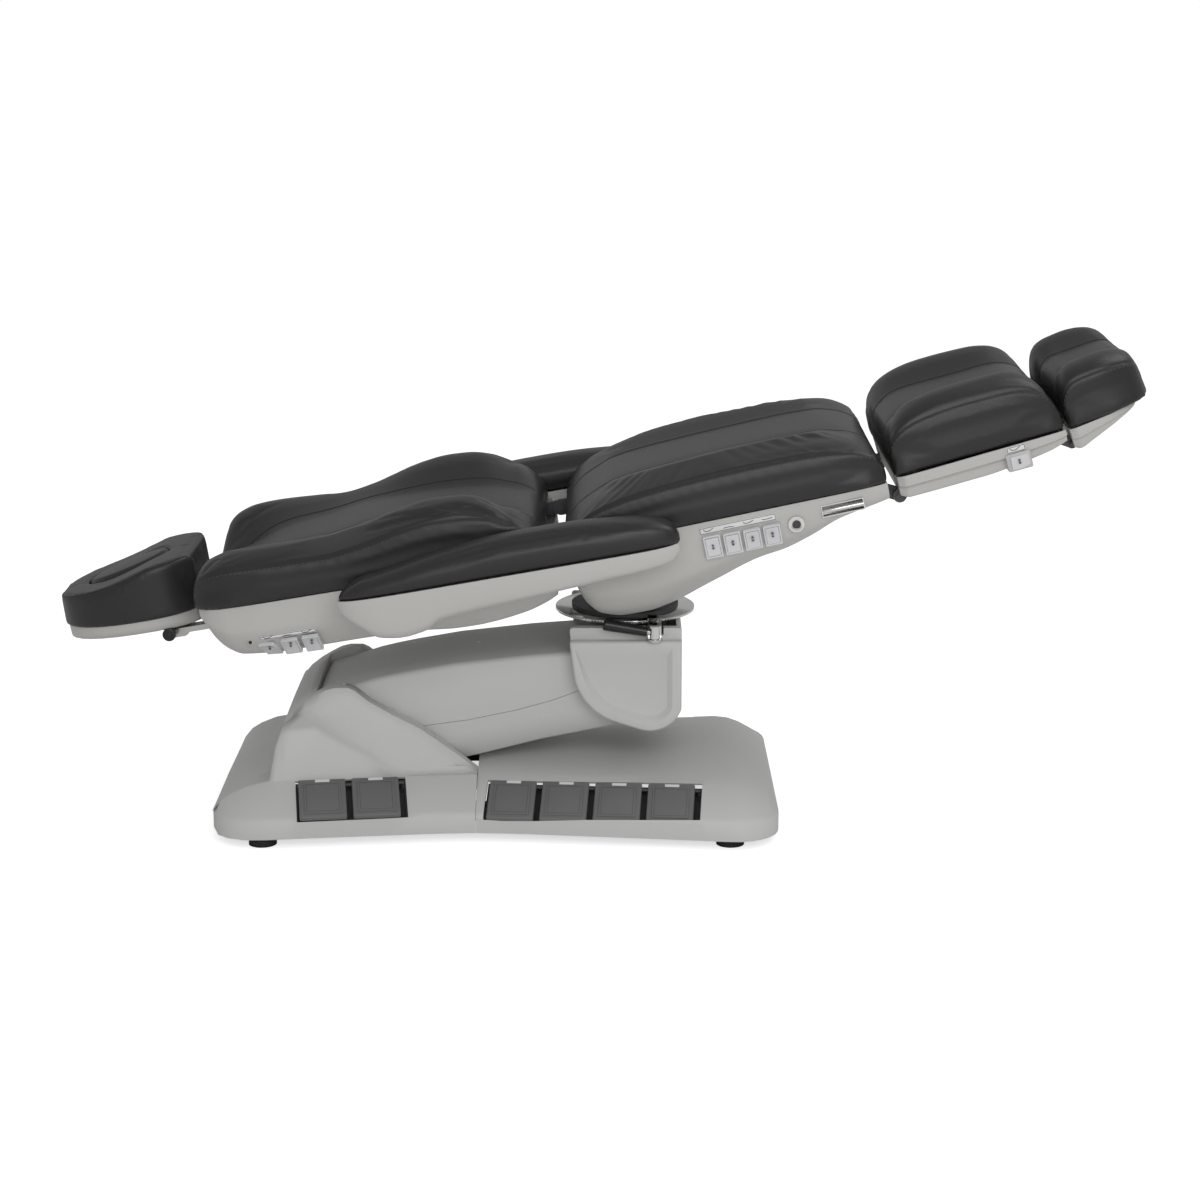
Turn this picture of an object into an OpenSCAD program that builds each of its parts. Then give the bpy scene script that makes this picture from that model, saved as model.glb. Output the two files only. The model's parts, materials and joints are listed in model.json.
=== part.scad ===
// Powered procedure table, shown tilted head down at its lowest height.
// X runs from the head end to the foot end, Y across, Z up from the floor.
// The mechanism worth a look is the lift: a parallelogram of two pairs of links that keeps the head level,
// driven by a swinging screw motor, all under a hooded tower and an arm cover that turns inside the hood.

/* [Base] */
// Length of the base on the floor
base_len = 1014; // [950:2:1100]
// Distance from the frame origin to the head end of the base
base_head = 684; // [670:2:710]
// Width of the base at its narrow waist
waist_w = 520; // [480:5:560]
// How much wider the base gets per millimetre away from the waist, on each side
base_flare_share = 0.125; // [0.08:0.005:0.16]
// Height of the gap under the base covers
base_gap = 17; // [12:1:20]
// Height of the upright band round the foot of the covers
band_h = 33; // [25:1:40]
// Height of the deck above the floor at its middle
deck_h = 112; // [105:1:120]
// Place of the seam between tower cover and deck cover
seam_x = -212; // [-230:1:-200]
// Thickness of the moulded covers
cover_wall = 3.5; // [3:0.5:5]

/* [Tower] */
// Height of the two side wings
wing_h = 258; // [245:1:265]
// Width over the two wings at their top
wing_w = 336; // [320:2:350]
// Width over the lower block of the tower
block_w = 432; // [410:2:450]
// Height of the lower block at its rear edge
block_h = 200; // [185:1:210]

/* [Lift] */
// Place of the upper lift pivot along the base
lift_x = -400; // [-405:1:-395]
// Height of the upper lift pivot
lift_z = 235; // [232:1:238]
// Run of a lift link from pivot to pivot, measured level
link_run = 465; // [460:1:470]
// Rise of a lift link from pivot to pivot at the lowest height
link_rise = 50; // [45:1:55]
// Height between the upper and lower links
link_gap = 72; // [68:1:76]
// Diameter of the link pivot pins
pivot_d = 24; // [20:1:28]
// Width of the cover over the lift links
arm_cover_w = 250; // [240:2:256]

/* [Head] */
// Diameter of the swivel disc
disc_d = 256; // [240:2:270]
// Thickness of the swivel disc
disc_t = 5; // [4:0.5:6]
// Height of the top of the swivel disc
disc_z = 373.5; // [370:0.5:378]
// Place of the swivel axis along the table
swivel_x = 56; // [50:1:62]
// Width over the two side covers of the head
head_w = 330; // [320:2:340]

/* [Seat] */
// Seat tilt shown, head end down
seat_deg = 12; // [10:0.5:14]
// Place of the seat datum along the table
seat_x = 10; // [5:1:15]
// Height of the seat datum
seat_z = 480; // [476:1:484]
// Length of the seat cushion
seat_len = 574; // [560:2:590]
// Distance of the head end of the seat cushion from the seat datum
seat_head = 50; // [45:1:55]
// Width of the seat cushion
seat_w = 560; // [540:2:560]
// Thickness of the seat cushion at its ridges
seat_t = 98; // [85:1:110]
// Height of the seat cushion's underside above the seat datum
seat_base = 66; // [62:1:70]
// Depth of the seat shell at its belly
seat_belly = 162; // [150:1:166]

/* [Backrest] */
// Back angle shown
back_deg = 9.5; // [8:0.5:11]
// Length of the back cushion
back_len = 640; // [620:2:644]
// Width of the back cushion
back_w = 560; // [540:2:560]
// Thickness of the back cushion at the shoulders
back_t = 84; // [75:1:95]
// Height that the lumbar swell adds
lumbar_t = 36; // [25:1:45]
// Depth of the back shell at its belly
back_belly = 158; // [150:1:165]

/* [Leg rest] */
// Calf section angle shown
calf_deg = 15.5; // [13:0.5:18]
// Length of the calf cushion
calf_len = 308; // [295:1:315]
// Width of the calf cushion at the knee
calf_w = 470; // [450:2:490]
// Width of the calf cushion at the ankle
calf_end_w = 430; // [410:2:450]
// Thickness of the calf cushion at its ridges
calf_t = 117; // [105:1:125]
// Foot section angle shown
foot_deg = 22; // [19:0.5:24]
// Length of the foot cushion
foot_len = 155; // [145:1:165]
// Width of the foot cushion
foot_w = 400; // [380:2:420]
// Thickness of the foot cushion at its ridges
foot_t = 101; // [90:1:110]

/* [Headrest] */
// Length of the headrest cushion
rest_len = 262; // [250:2:280]
// Width of the headrest cushion
rest_w = 290; // [270:2:310]
// Thickness of the headrest cushion
rest_t = 94; // [85:1:100]
// Length of the face hole
face_len = 158; // [150:1:165]
// Width of the face hole
face_w = 110; // [100:1:120]

/* [Arms] */
// Angle of the arms shown
arm_deg = 10; // [9:0.5:11]
// Length of an arm rest
arm_len = 592; // [580:2:600]
// Width of an arm rest
arm_w = 100; // [90:1:104]
// Depth of an arm shell
arm_depth = 82; // [75:1:90]
// Thickness of an arm pad
arm_pad_t = 61; // [50:1:66]

/* [Pedals and switches] */
// Width of a foot pedal
pedal_w = 84; // [80:1:86]
// Length of a foot pedal down its slope
pedal_len = 74; // [68:1:76]
// Slope of the pedals
pedal_deg = 32; // [28:1:36]
// Distance between neighbouring pedals
pedal_pitch = 95; // [92:1:97]
// Width of a rocker switch
rocker_w = 24; // [20:1:26]
// Height of a rocker switch
rocker_len = 34; // [30:1:36]

/* [Hidden] */
$fn = 48;
overrun = 1;
gap = 0.3;
run_gap = 0.05;
slide_gap = 0.4;
skin_wall = 3.5;
body_gap = 4;

// Derived frames and hinge places
base_foot = base_len - base_head;
waist_half = waist_w / 2;
flare_round = 60;
link_len = sqrt(link_run * link_run + link_rise * link_rise);
lift_deg = atan2(link_rise, link_run);
head_x = lift_x + link_run;
head_z = lift_z + link_rise;
recline_s = -65;
recline_h = 50;
recline_x = seat_x + recline_s * cos(seat_deg) - recline_h * sin(seat_deg);
recline_z = seat_z + recline_s * sin(seat_deg) + recline_h * cos(seat_deg);
seat_foot = seat_len - seat_head;
knee_s = seat_foot + 21;
knee_h = 20;
knee_x = seat_x + knee_s * cos(seat_deg) - knee_h * sin(seat_deg);
knee_z = seat_z + knee_s * sin(seat_deg) + knee_h * cos(seat_deg);
calf_base = 45;
foot_base = 33;
ankle_s = calf_len + 9;
ankle_h = 6;
ankle_x = knee_x + ankle_s * cos(calf_deg) - ankle_h * sin(calf_deg);
ankle_z = knee_z + ankle_s * sin(calf_deg) + ankle_h * cos(calf_deg);
back_base = 12;
neck_s = -back_len - 84;
neck_h = -57;
neck_x = recline_x + neck_s * cos(back_deg) - neck_h * sin(back_deg);
neck_z = recline_z + neck_s * sin(back_deg) + neck_h * cos(back_deg);
elbow_s = -284;
elbow_h = -41;
elbow_x = recline_x + elbow_s * cos(back_deg) - elbow_h * sin(back_deg);
elbow_z = recline_z + elbow_s * sin(back_deg) + elbow_h * cos(back_deg);
tilt_s = 37;
tilt_h = -49;

// Smooth interpolation and skins

// Rounded rise from 0 at an edge to 1 at distance r from it
function rise(d, r, p) = d >= r ? 1 : d <= 0 ? 0 : pow(1 - pow(1 - d / r, p), 1 / p);

// Shares from 0 to 1 that crowd towards both ends
function crowded(n) = [for (i = [0:n]) (1 - cos(180 * i / n)) / 2];

// Ring of points across the part at x, from the half outline on the far side, bottom to top
function ring(x, half) = concat([for (p = half) [x, p[0], p[1]]],
    [for (i = [len(half) - 2:-1:1]) [x, -half[i][0], half[i][1]]]);

// Open line of points across the part at x, from the far rim over the middle to the near rim
function band(x, half) = concat([for (p = half) [x, p[0], p[1]]],
    [for (i = [len(half) - 2:-1:0]) [x, -half[i][0], half[i][1]]]);

// Middle of a list of points
function middle(points) = [for (k = [0:2]) [for (p = points) p[k]] * [for (p = points) 1] / len(points)];

// Closed solid over rings of points, with a fan over each end
module skin(rings) {
    n = len(rings[0]);
    m = len(rings);
    points = concat([for (r = rings) each r], [middle(rings[0]), middle(rings[m - 1])]);
    sides = [for (i = [0:m - 2], j = [0:n - 1]) let (a = i * n + j, b = i * n + (j + 1) % n)
        each [[a, a + n, b], [b, a + n, b + n]]];
    caps = [for (j = [0:n - 1]) let (k = (j + 1) % n, far = (m - 1) * n)
        each [[m * n, j, k], [m * n + 1, far + k, far + j]]];
    polyhedron(points, concat(sides, caps));
}

// Open tray between two sets of bands, walled all round with a flat rim
module tray(outer, inner) {
    n = len(outer[0]);
    m = len(outer);
    w = 2 * n;
    c = m * w;
    far = (m - 1) * w;
    rims = [for (r = [outer[0], inner[0], outer[m - 1], inner[m - 1]]) (r[0] + r[n - 1]) / 2];
    points = concat([for (i = [0:m - 1]) each concat(outer[i], [for (j = [n - 1:-1:0]) inner[i][j]])],
        rims);
    walls = [for (i = [0:m - 2], j = [0:w - 1]) let (a = i * w + j, b = i * w + (j + 1) % w)
        each [[a, a + w, b], [b, a + w, b + w]]];
    ends = [for (j = [0:n - 2]) each [[c, j, j + 1], [c + 1, w - 2 - j, w - 1 - j],
        [c + 2, far + j + 1, far + j], [c + 3, far + w - 1 - j, far + w - 2 - j]]];
    rim = [[n - 1, n, c + 1], [n - 1, c + 1, c], [c, c + 1, w - 1], [c, w - 1, 0],
        [far + n, far + n - 1, c + 2], [far + n, c + 2, c + 3], [c + 3, c + 2, far],
            [c + 3, far, far + w - 1]];
    polyhedron(points, concat(walls, ends, rim));
}

// Keeps a moulded shape as one mesh
module moulded() {
    resize([0, 0, 0]) children();
}

// Places children in a section's own frame
module tilted(x, z, deg) {
    translate([x, 0, z]) rotate([0, -deg, 0]) children();
}

// Repeats children on the near and the far side
module both_sides() {
    children();
    mirror([0, 1, 0]) children();
}

// Rod across the table at one place of a section
module cross_rod(x, z, d, y0, y1) {
    translate([x, y1, z]) rotate([90, 0, 0]) cylinder(d = d, h = y1 - y0);
}

// Block given by its low corner and its high corner
module block(low, high) {
    translate(low) cube(high - low);
}

// Base

// Half width of the base at x, waisted at the seam
function base_half(x) = waist_half + base_flare_share * (sqrt(pow(x - seam_x, 2) + pow(flare_round,
    2)) - flare_round);

// Half width with the plan corners rounded at both ends
function plan_half(x) = base_half(x)
    - corner_r * (1 - rise(min(x + base_head, base_foot - x), corner_r, 2));

corner_r = 90;
band_z = base_gap + band_h;
slope_w = 82;
shelf_z = 95;
ledge_z = 101;
rail_t = 25;
rail_w = 40;
rail_y = 185;
rail_z = 22;
foot_pad_d = 50;
foot_pad_h = 14;
foot_y = 266;
cross_reach = foot_y + 13;
foot_xs = [-base_head + 93, base_foot - 88];
pedestal_y = 56;
pedestal_t = 10;
pedestal_w = 80;
pedestal_top_w = 44;
plate_z = rail_z + rail_t;
plate_t = 8;
pin_reach = 90;
lower_pivot_d = 20;
motor_x = -340;
motor_z = 88;
motor_pin_d = 12;
motor_ear_y = 22;
motor_ear_t = 8;
motor_ear_w = 36;

// Steel ladder frame with the pedestal that carries the lift links
module base_frame() color("dimgray") {
    both_sides() block([-base_head + 40, rail_y - rail_w / 2, rail_z],
        [base_foot - 50, rail_y + rail_w / 2, plate_z]);
    for (x = foot_xs) difference() {
        block([x - rail_w / 2, -cross_reach, plate_z], [x + rail_w / 2, cross_reach, plate_z + plate_t]);
        both_sides() translate([x, foot_y, plate_z - overrun])
            cylinder(d = foot_stem_d + 2 * run_gap, h = plate_t + 2 * overrun);
    }
    block([lift_x - 140, -rail_y - rail_w / 2, plate_z],
        [lift_x + 120, rail_y + rail_w / 2, plate_z + plate_t]);
    both_sides() translate([lift_x, pedestal_y + pedestal_t, 0]) rotate([90, 0, 0])
        linear_extrude(pedestal_t) union() {
        translate([-pedestal_w / 2, plate_z + plate_t])
            square([pedestal_w, lift_z - link_gap - plate_z - plate_t]);
        translate([0, lift_z - link_gap]) circle(d = pedestal_w);
        translate([-pedestal_top_w / 2, lift_z - link_gap]) square([pedestal_top_w, link_gap]);
        translate([0, lift_z]) circle(d = pedestal_top_w);
    }
    cross_rod(lift_x, lift_z, pivot_d, -pin_reach, -pedestal_y - pedestal_t);
    cross_rod(lift_x, lift_z, pivot_d, pedestal_y + pedestal_t, pin_reach);
    cross_rod(lift_x, lift_z - link_gap, lower_pivot_d, -pin_reach, -pedestal_y - pedestal_t);
    cross_rod(lift_x, lift_z - link_gap, lower_pivot_d, pedestal_y + pedestal_t, pin_reach);
    both_sides() block([motor_x - motor_ear_w / 2, motor_ear_y, plate_z + plate_t],
        [motor_x + motor_ear_w / 2, motor_ear_y + motor_ear_t, motor_z + motor_ear_w / 2]);
    cross_rod(motor_x, motor_z, motor_pin_d, -motor_ear_y, motor_ear_y);
}

foot_stem_d = 12;

// Rubber levelling feet on threaded stems
module levelling_feet() color("black") {
    for (x = foot_xs, y = [-foot_y, foot_y]) translate([x, y, 0]) {
        cylinder(d = foot_pad_d, h = foot_pad_h);
        cylinder(d = foot_stem_d, h = plate_z + plate_t + 3);
        translate([0, 0, foot_pad_h]) cylinder(d = 2 * foot_stem_d, h = foot_stem_d);
    }
}

// Half outline of the deck cover at x
function deck_half(x, t) =
    let (w = plan_half(x) - t, lift = rise(base_foot - x, deck_round, 1.5), b = base_gap, top = band_z)
    [[w, b], [w + 1, top - 2], [w - 7, top + 8 * lift - t],
     [max(w - slope_w, 0.62 * w), top + (shelf_z - band_z) * lift - t],
     [0.6 * w, top + (shelf_z + 6 - band_z) * lift - t],
     [0.3 * w, top + (deck_h - 2 - band_z) * lift - t],
     [0, top + (deck_h - band_z) * lift - t]];

deck_round = 92;
deck_stations = 18;
seam_gap = 0.6;

// Front cover of the base with the deck
module deck_cover() color("silver") {
    x0 = seam_x + seam_gap;
    len_x = base_foot - x0;
    xs = [for (u = crowded(2 * deck_stations)) if (u >= 0.5) x0 + len_x * (2 * u - 1)];
    xi = [for (x = xs) x0 + cover_wall + (x - x0) * (len_x - 2 * cover_wall) / len_x];
    moulded() difference() {
        tray([for (x = xs) band(x, deck_half(x, 0))], [for (x = xi) band(x, deck_half(x, cover_wall))]);
        block([seam_x, -rail_y - rail_w, 0], [seam_x + 2 * cover_wall, rail_y + rail_w,
            plate_z + body_gap]);
        both_sides() row_place(front_row) bay_cut(front_row);
    }
    both_sides() block([foot_xs[1] - rib_t, rib_y, plate_z + plate_t],
        [foot_xs[1], rib_y + rib_t, deck_h - 2 * cover_wall]);
}
rib_y = 100;
rib_t = 12;

// Place along the tower for a share of its length
function tower_at(share) = -base_head + share * (seam_x + base_head);

// Height of the tower's top and of its lower block, in shares of the wing height above the band
tower_top_shares = [[0, 0], [0.03, 0.06], [0.07, 0.13], [0.135, 0.2], [0.215, 0.26], [0.24, 0.56],
    [0.265, 0.7],
    [0.3, 0.8], [0.345, 0.88], [0.39, 0.94], [0.425, 0.98], [0.46, 1], [0.51, 1], [0.535, 0.975],
        [0.585, 0.88],
    [0.683, 0.75], [0.783, 0.63], [0.859, 0.5], [0.951, 0.34], [1, 0.25]];
tower_block_shares = [[0, 0], [0.215, 0.9], [0.24, 0.93], [0.283, 0.97], [0.39, 1], [0.48, 0.8],
    [0.57, 0.65],
    [0.68, 0.4], [0.73, 0.3], [1, 0.3]];

// Half outline of the tower at share u of its length, closed along its underside
function tower_half(u, t, drop) =
    let (x = tower_at(u), w = plan_half(x) - t, lift = rise(x + base_head, tower_round, 1.5))
    let (top = band_z + lookup(u, tower_top_shares) * (wing_h - band_z) - t)
    let (ledge = band_z + (ledge_z - band_z) * lift - t)
    let (roof = max(top, ledge), rim = band_z + 7 * lift - t)
    let (blk = max(min(band_z + lookup(u, tower_block_shares) * (block_h - band_z) - t, roof - 2), ledge))
    let (yb = block_w / 2 * (base_half(x) - slope_w) / (base_half(tower_at(0.3)) - slope_w) - t)
    let (yw = min(wing_w / 2 + 6 - t, yb - 16))
    [[0, base_gap - drop], [w, base_gap - drop], [w + 1, band_z - 2], [w - 7, rim],
     [max(w - slope_w, yb + 2), ledge], [yb, ledge + 1], [yb - 4, max(blk - 10, ledge + 1)],
         [yb - 12, max(blk, ledge + 1)],
     [yw, max(min(blk + 12, roof), ledge + 1)], [yw - 4, max(roof - 14, ledge + 1)],
         [yw - 14, max(roof, ledge + 1)],
     [yw / 2, max(roof + 2, ledge + 1)], [0, max(roof + 3, ledge + 1)]];

tower_round = 100;
slot_half = 132;
slot_r = 104;
slot_floor = 60;
slot_back = 12;

// Space in the tower that the lift cover turns in, grown by t
module lift_slot(t) {
    translate([lift_x, slot_half + t, lift_z]) rotate([90, 0, 0])
        cylinder(r = slot_r + t, h = 2 * (slot_half + t), $fn = 64);
    block([lift_x - slot_r + slot_back - t, -slot_half - t, t > 0 ? slot_floor : 0],
        [seam_x + 5 * overrun, slot_half + t, wing_h + wing_w]);
}

// Rear cover of the base: floor band, lower block, two wings and the hood over the lift pivot
module tower_cover() color("silver") {
    us = [for (p = tower_top_shares) p[0]];
    first = cover_wall / (seam_x + base_head);
    last = 1 + 2 * overrun / (seam_x + base_head);
    moulded() difference() {
        skin([for (u = us) ring(tower_at(u), tower_half(u, 0, 0))]);
        difference() {
            skin([for (u = us) let (v = first + u * (last - first))
                ring(tower_at(v), tower_half(u, cover_wall, overrun))]);
            lift_slot(cover_wall);
        }
        lift_slot(0);
        both_sides() row_place(rear_row) bay_cut(rear_row);
    }
    both_sides() block([lift_x, slot_half + cover_wall / 2, plate_z + plate_t],
        [lift_x + rib_t, wing_w / 2, 0.7 * wing_h]);
}

// Pedals

// A row is its start, its height, its turn in plan and its count of pedals
front_row = [-192, -184, 92, -4.5, 4];
rear_row = [-536, -219, 102, 7.4, 2];
bay_margin = 9;
bay_depth = 26;
pedal_t = 7;
pedal_rise = 3;
pedal_pin_d = 6;
pedal_barrel_d = 10;
pedal_border = 11;
pedal_face_t = 3;
tray_wall = 2.5;
pedal_step = pedal_pitch - pedal_w;

// Frame of a row: x along it, y up the slope, z out of it
module row_place(row) {
    translate([row[0], row[1], row[2]]) rotate([0, 0, row[3]]) rotate([pedal_deg, 0, 0]) children();
}

// Length of the bay of a row
function bay_w(row) = row[4] * pedal_pitch - pedal_step + 2 * bay_margin;

// Opening in the cover for a row of pedals
module bay_cut(row) {
    translate([0, -pedal_len - 2 * bay_margin, -bay_depth])
        cube([bay_w(row), pedal_len + 2 * bay_margin, bay_depth + base_gap + band_h]);
}

// Tray of one row with its hinge pin
module row_tray(row) {
    h = bay_depth - gap;
    difference() {
        translate([gap, -pedal_len - 2 * bay_margin + gap, -h])
            cube([bay_w(row) - 2 * gap, pedal_len + 2 * bay_margin - 2 * gap, h - bay_margin]);
        translate([gap + tray_wall, -pedal_len - 2 * bay_margin + gap + tray_wall, tray_wall - h])
            cube([bay_w(row) - 2 * gap - 2 * tray_wall,
                pedal_len + 2 * bay_margin - 2 * gap - 2 * tray_wall, h]);
    }
    for (x = [tray_wall + gap, bay_w(row) - tray_wall - gap - bay_margin / 2])
        translate([x, -bay_margin - pedal_barrel_d, -h + tray_wall])
            cube([bay_margin / 2, pedal_barrel_d, h - pedal_pin_d]);
    translate([tray_wall + gap, -bay_margin - pedal_barrel_d / 2, -pedal_t / 2 + pedal_rise])
        rotate([0, 90, 0])
        cylinder(d = pedal_pin_d, h = bay_w(row) - 2 * tray_wall - 2 * gap);
}

// Trays under the pedals, two on each side
module pedal_trays() color("#2c2c2e") {
    both_sides() {
        row_place(front_row) row_tray(front_row);
        row_place(rear_row) row_tray(rear_row);
    }
}

// Pedal k of a row, hinged at its upper edge
module pedal(row, k) {
    row_place(row) translate([bay_margin + k * pedal_pitch, -bay_margin - pedal_barrel_d / 2,
        pedal_rise - pedal_t / 2])
    difference() {
        union() {
            translate([0, -pedal_len + pedal_barrel_d / 2, -pedal_t / 2])
                cube([pedal_w, pedal_len - pedal_barrel_d / 2, pedal_t]);
            rotate([0, 90, 0]) cylinder(d = pedal_barrel_d, h = pedal_w);
            translate([pedal_border, -pedal_len + pedal_barrel_d / 2 + pedal_border / 2, 0])
                cube([pedal_w - 2 * pedal_border, pedal_len - pedal_border - pedal_barrel_d,
                    pedal_t / 2 + pedal_face_t]);
        }
        translate([-overrun, 0, 0]) rotate([0, 90, 0])
            cylinder(d = pedal_pin_d + 2 * run_gap, h = pedal_w + 2 * overrun);
    }
}

module pedal_1() color("#636365") pedal(rear_row, 0);
module pedal_2() color("#636365") pedal(rear_row, 1);
module pedal_3() color("#636365") pedal(front_row, 0);
module pedal_4() color("#636365") pedal(front_row, 1);
module pedal_5() color("#636365") pedal(front_row, 2);
module pedal_6() color("#636365") pedal(front_row, 3);
module far_pedals_rear() color("#636365") mirror([0, 1, 0]) for (k = [0:1]) pedal(rear_row, k);
module far_pedals_front() color("#636365") mirror([0, 1, 0]) for (k = [0:3]) pedal(front_row, k);

// Control box with the power inlet behind the rear cover
power_box = [90, 150, 36];
power_x = -base_head + 81;
module power_unit() color("#3a3a3c") {
    translate([power_x, -power_box[1] / 2, plate_z + plate_t]) cube(power_box);
}

// Lift

link_bar_y = 70;
link_bar_t = 12;
link_bar_h = 36;
lower_bar_h = 26;
rod_pin_d = 14;
rod_pin_s = 280;
rod_pin_clear = 5.5;
cross_tube_d = 30;

// Side bar of a link pair, length long, bored at both ends
module link_bar(length, h, d) {
    translate([0, link_bar_y + link_bar_t, 0]) rotate([90, 0, 0]) difference() {
        union() {
            translate([0, -h / 2, 0]) cube([length, h, link_bar_t]);
            cylinder(d = h + 8, h = link_bar_t);
            translate([length, 0, 0]) cylinder(d = h + 8, h = link_bar_t);
        }
        for (x = [0, length]) translate([x, 0, -overrun])
            cylinder(d = d + 2 * run_gap, h = link_bar_t + 2 * overrun);
    }
}

// Upper link pair with its cross tube and the pin that the lift rod pushes
module lift_arm() color("dimgray") tilted(lift_x, lift_z, lift_deg) {
    both_sides() link_bar(link_len, link_bar_h, pivot_d);
    cross_rod(rod_pin_s, 0, rod_pin_d, -link_bar_y, link_bar_y);
    cross_rod(rod_pin_s - 2.7 * cross_tube_d, 0, cross_tube_d, -link_bar_y, link_bar_y);
}

// Lower link pair that keeps the head level
module level_link() color("dimgray") tilted(lift_x, lift_z - link_gap, lift_deg) {
    both_sides() link_bar(link_len, lower_bar_h, lower_pivot_d);
}

cover_r = 99;
cover_end_r = 74;
cover_top_shares = [[-0.22, 0.1], [-0.1, 0.2], [0, 0.3], [0.1, 0.36], [0.28, 0.43], [0.5, 0.46],
    [0.77, 0.42], [1.2, 0.34]];
cover_low_shares = [[-0.22, 0.6], [0, 0.95], [0.08, 1.34], [0.15, 1.44], [0.33, 1.41], [0.62, 1.21],
    [0.82, 1.12], [0.93, 1.07],
    [0.94, 0.95], [1.2, 0.9]];
cover_part_shares = [[-0.22, 0.72], [0.15, 0.68], [0.35, 0.65], [0.54, 0.56], [0.69, 0.44], [0.8, 0.3],
    [1.2, 0.1]];
cover_floor_share = 0.36;
cover_top_r = 9;
parting = 0.8;

// Height of the arc about a pivot at distance d
function arc_h(r, d) = sqrt(max(r * r - d * d, 0));

// Half outline of the lift cover at s along the links
function cover_half(s, t) =
    let (r0 = cover_r - t, r1 = cover_end_r - t, w = arm_cover_w / 2 - t, over = s - link_len)
    let (cap = s < 0 ? arc_h(r0, s) : over > 0 ? arc_h(r1, over) : 2 * cover_r)
    let (top = min(lookup(s / link_len, cover_top_shares) * cover_r - t, cap))
    let (low = -min(lookup(s / link_len, cover_low_shares) * cover_r - t, cap))
    [[0, low], [w - 2 * cover_top_r, low], [w - 2, low + min(6, (top - low) / 4)],
        [w, low + (top - low) * 0.3],
     [w, top - min(cover_top_r, (top - low) / 4)],
     [w - cover_top_r * 0.3, top - min(2.5, (top - low) / 8)], [w - cover_top_r, top],
         [w / 2, top + 2 * sign(top - low - 1)], [0, top + 3 * sign(top - low - 1)]];

// Skin of the lift cover, shrunk by t
module cover_skin(t) {
    a = -cover_r + t + 0.4;
    b = link_len + cover_end_r - t - 0.4;
    marks = [for (p = cover_low_shares) p[0] * link_len];
    ss = concat([for (u = crowded(10)) if (u <= 0.5) a * (1 - 2 * u)],
        [for (k = [1:8]) if (marks[k] > 0) marks[k]],
        [for (u = crowded(10)) if (u >= 0.5) link_len + (b - link_len) * (2 * u - 1)]);
    skin([for (s = ss) ring(s, cover_half(s, t))]);
}

// Region of the lift cover above its parting line, moved down by d
module above_parting(d) {
    translate([0, arm_cover_w, 0]) rotate([90, 0, 0]) linear_extrude(2 * arm_cover_w)
        polygon(concat([for (p = cover_part_shares) [p[0] * link_len, -p[1] * cover_r - d]],
            [[1.2 * link_len, link_len], [-0.22 * link_len, link_len]]));
}

// Moulded covers round the links: upper hood and lower sides with a floor towards the head
module arm_covers() color("silver") tilted(lift_x, lift_z, lift_deg) {
    both_sides() block([link_len / 2, link_bar_y + link_bar_t, -lower_bar_h / 2],
        [link_len / 2 + rib_t, (arm_cover_w - cover_wall) / 2, lower_bar_h / 2]);
    moulded() cover_halves();
}

// Upper hood and lower sides
module cover_halves() difference() {
    cover_skin(0);
    difference() {
        cover_skin(cover_wall);
        block([cover_floor_share * link_len, -arm_cover_w, -2 * cover_r],
            [link_len, arm_cover_w, -2 * cover_r + overrun]);
    }
    block([-2 * cover_r, -arm_cover_w / 2 + 2 * cover_wall, -2 * cover_r],
        [cover_floor_share * link_len, arm_cover_w / 2 - 2 * cover_wall, -0.18 * cover_r]);
    block([link_len - column_reach, -column_half, -column_drop],
        [link_len + cover_r, column_half, 2 * cover_r]);
    difference() {
        above_parting(parting);
        above_parting(0);
    }
}
column_reach = 70;
column_half = 90;
column_drop = 2 * cover_r;

// Lift motor

motor_arm_x = lift_x + rod_pin_s * cos(lift_deg) - motor_x;
motor_arm_z = lift_z + rod_pin_s * sin(lift_deg) - motor_z;
motor_deg = atan2(motor_arm_z, motor_arm_x);
rod_run = sqrt(motor_arm_x * motor_arm_x + motor_arm_z * motor_arm_z);
motor_tube_d = 40;
motor_tube_len = 210;
motor_head_w = 40;
motor_head_len = 60;
rod_d = 20;
rod_eye_d = 40;
rod_eye_w = 24;

// Screw motor: gear head with its pivot bore, and the outer tube
module lift_motor() color("#2c2c2e") tilted(motor_x, motor_z, motor_deg) difference() {
    union() {
        translate([-motor_ear_w / 2, -motor_head_w / 2, -motor_ear_w / 2])
            cube([motor_head_len, motor_head_w, motor_ear_w]);
        rotate([0, 90, 0]) cylinder(d = motor_tube_d, h = motor_tube_len);
        translate([motor_ear_w / 2, 0, 0]) rotate([180, 0, 0])
            cylinder(d = motor_tube_d, h = 0.85 * motor_tube_d);
    }
    cross_rod(0, 0, motor_pin_d + 2 * run_gap, -motor_head_w, motor_head_w);
    translate([motor_head_len, 0, 0]) rotate([0, 90, 0])
        cylinder(d = rod_d + 2 * run_gap, h = motor_tube_len);
}

// Rod of the screw motor; its eye holds the arm's pin loosely because the linkage is opened there
module lift_rod() color("silver") tilted(motor_x, motor_z, motor_deg) difference() {
    union() {
        translate([motor_tube_len - 130, 0, 0]) rotate([0, 90, 0])
            cylinder(d = rod_d, h = rod_run - motor_tube_len + 130);
        cross_rod(rod_run, 0, rod_eye_d, -rod_eye_w / 2, rod_eye_w / 2);
    }
    cross_rod(rod_run, 0, rod_pin_d + 2 * rod_pin_clear, -rod_eye_w, rod_eye_w);
}

// Head

head_plate_w = 74;
hub_d = 130;
hub_h = 34;
disc_low = disc_z - disc_t;
spindle_d = 40;
spindle_h = 26;
column_plate = 10;

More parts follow.
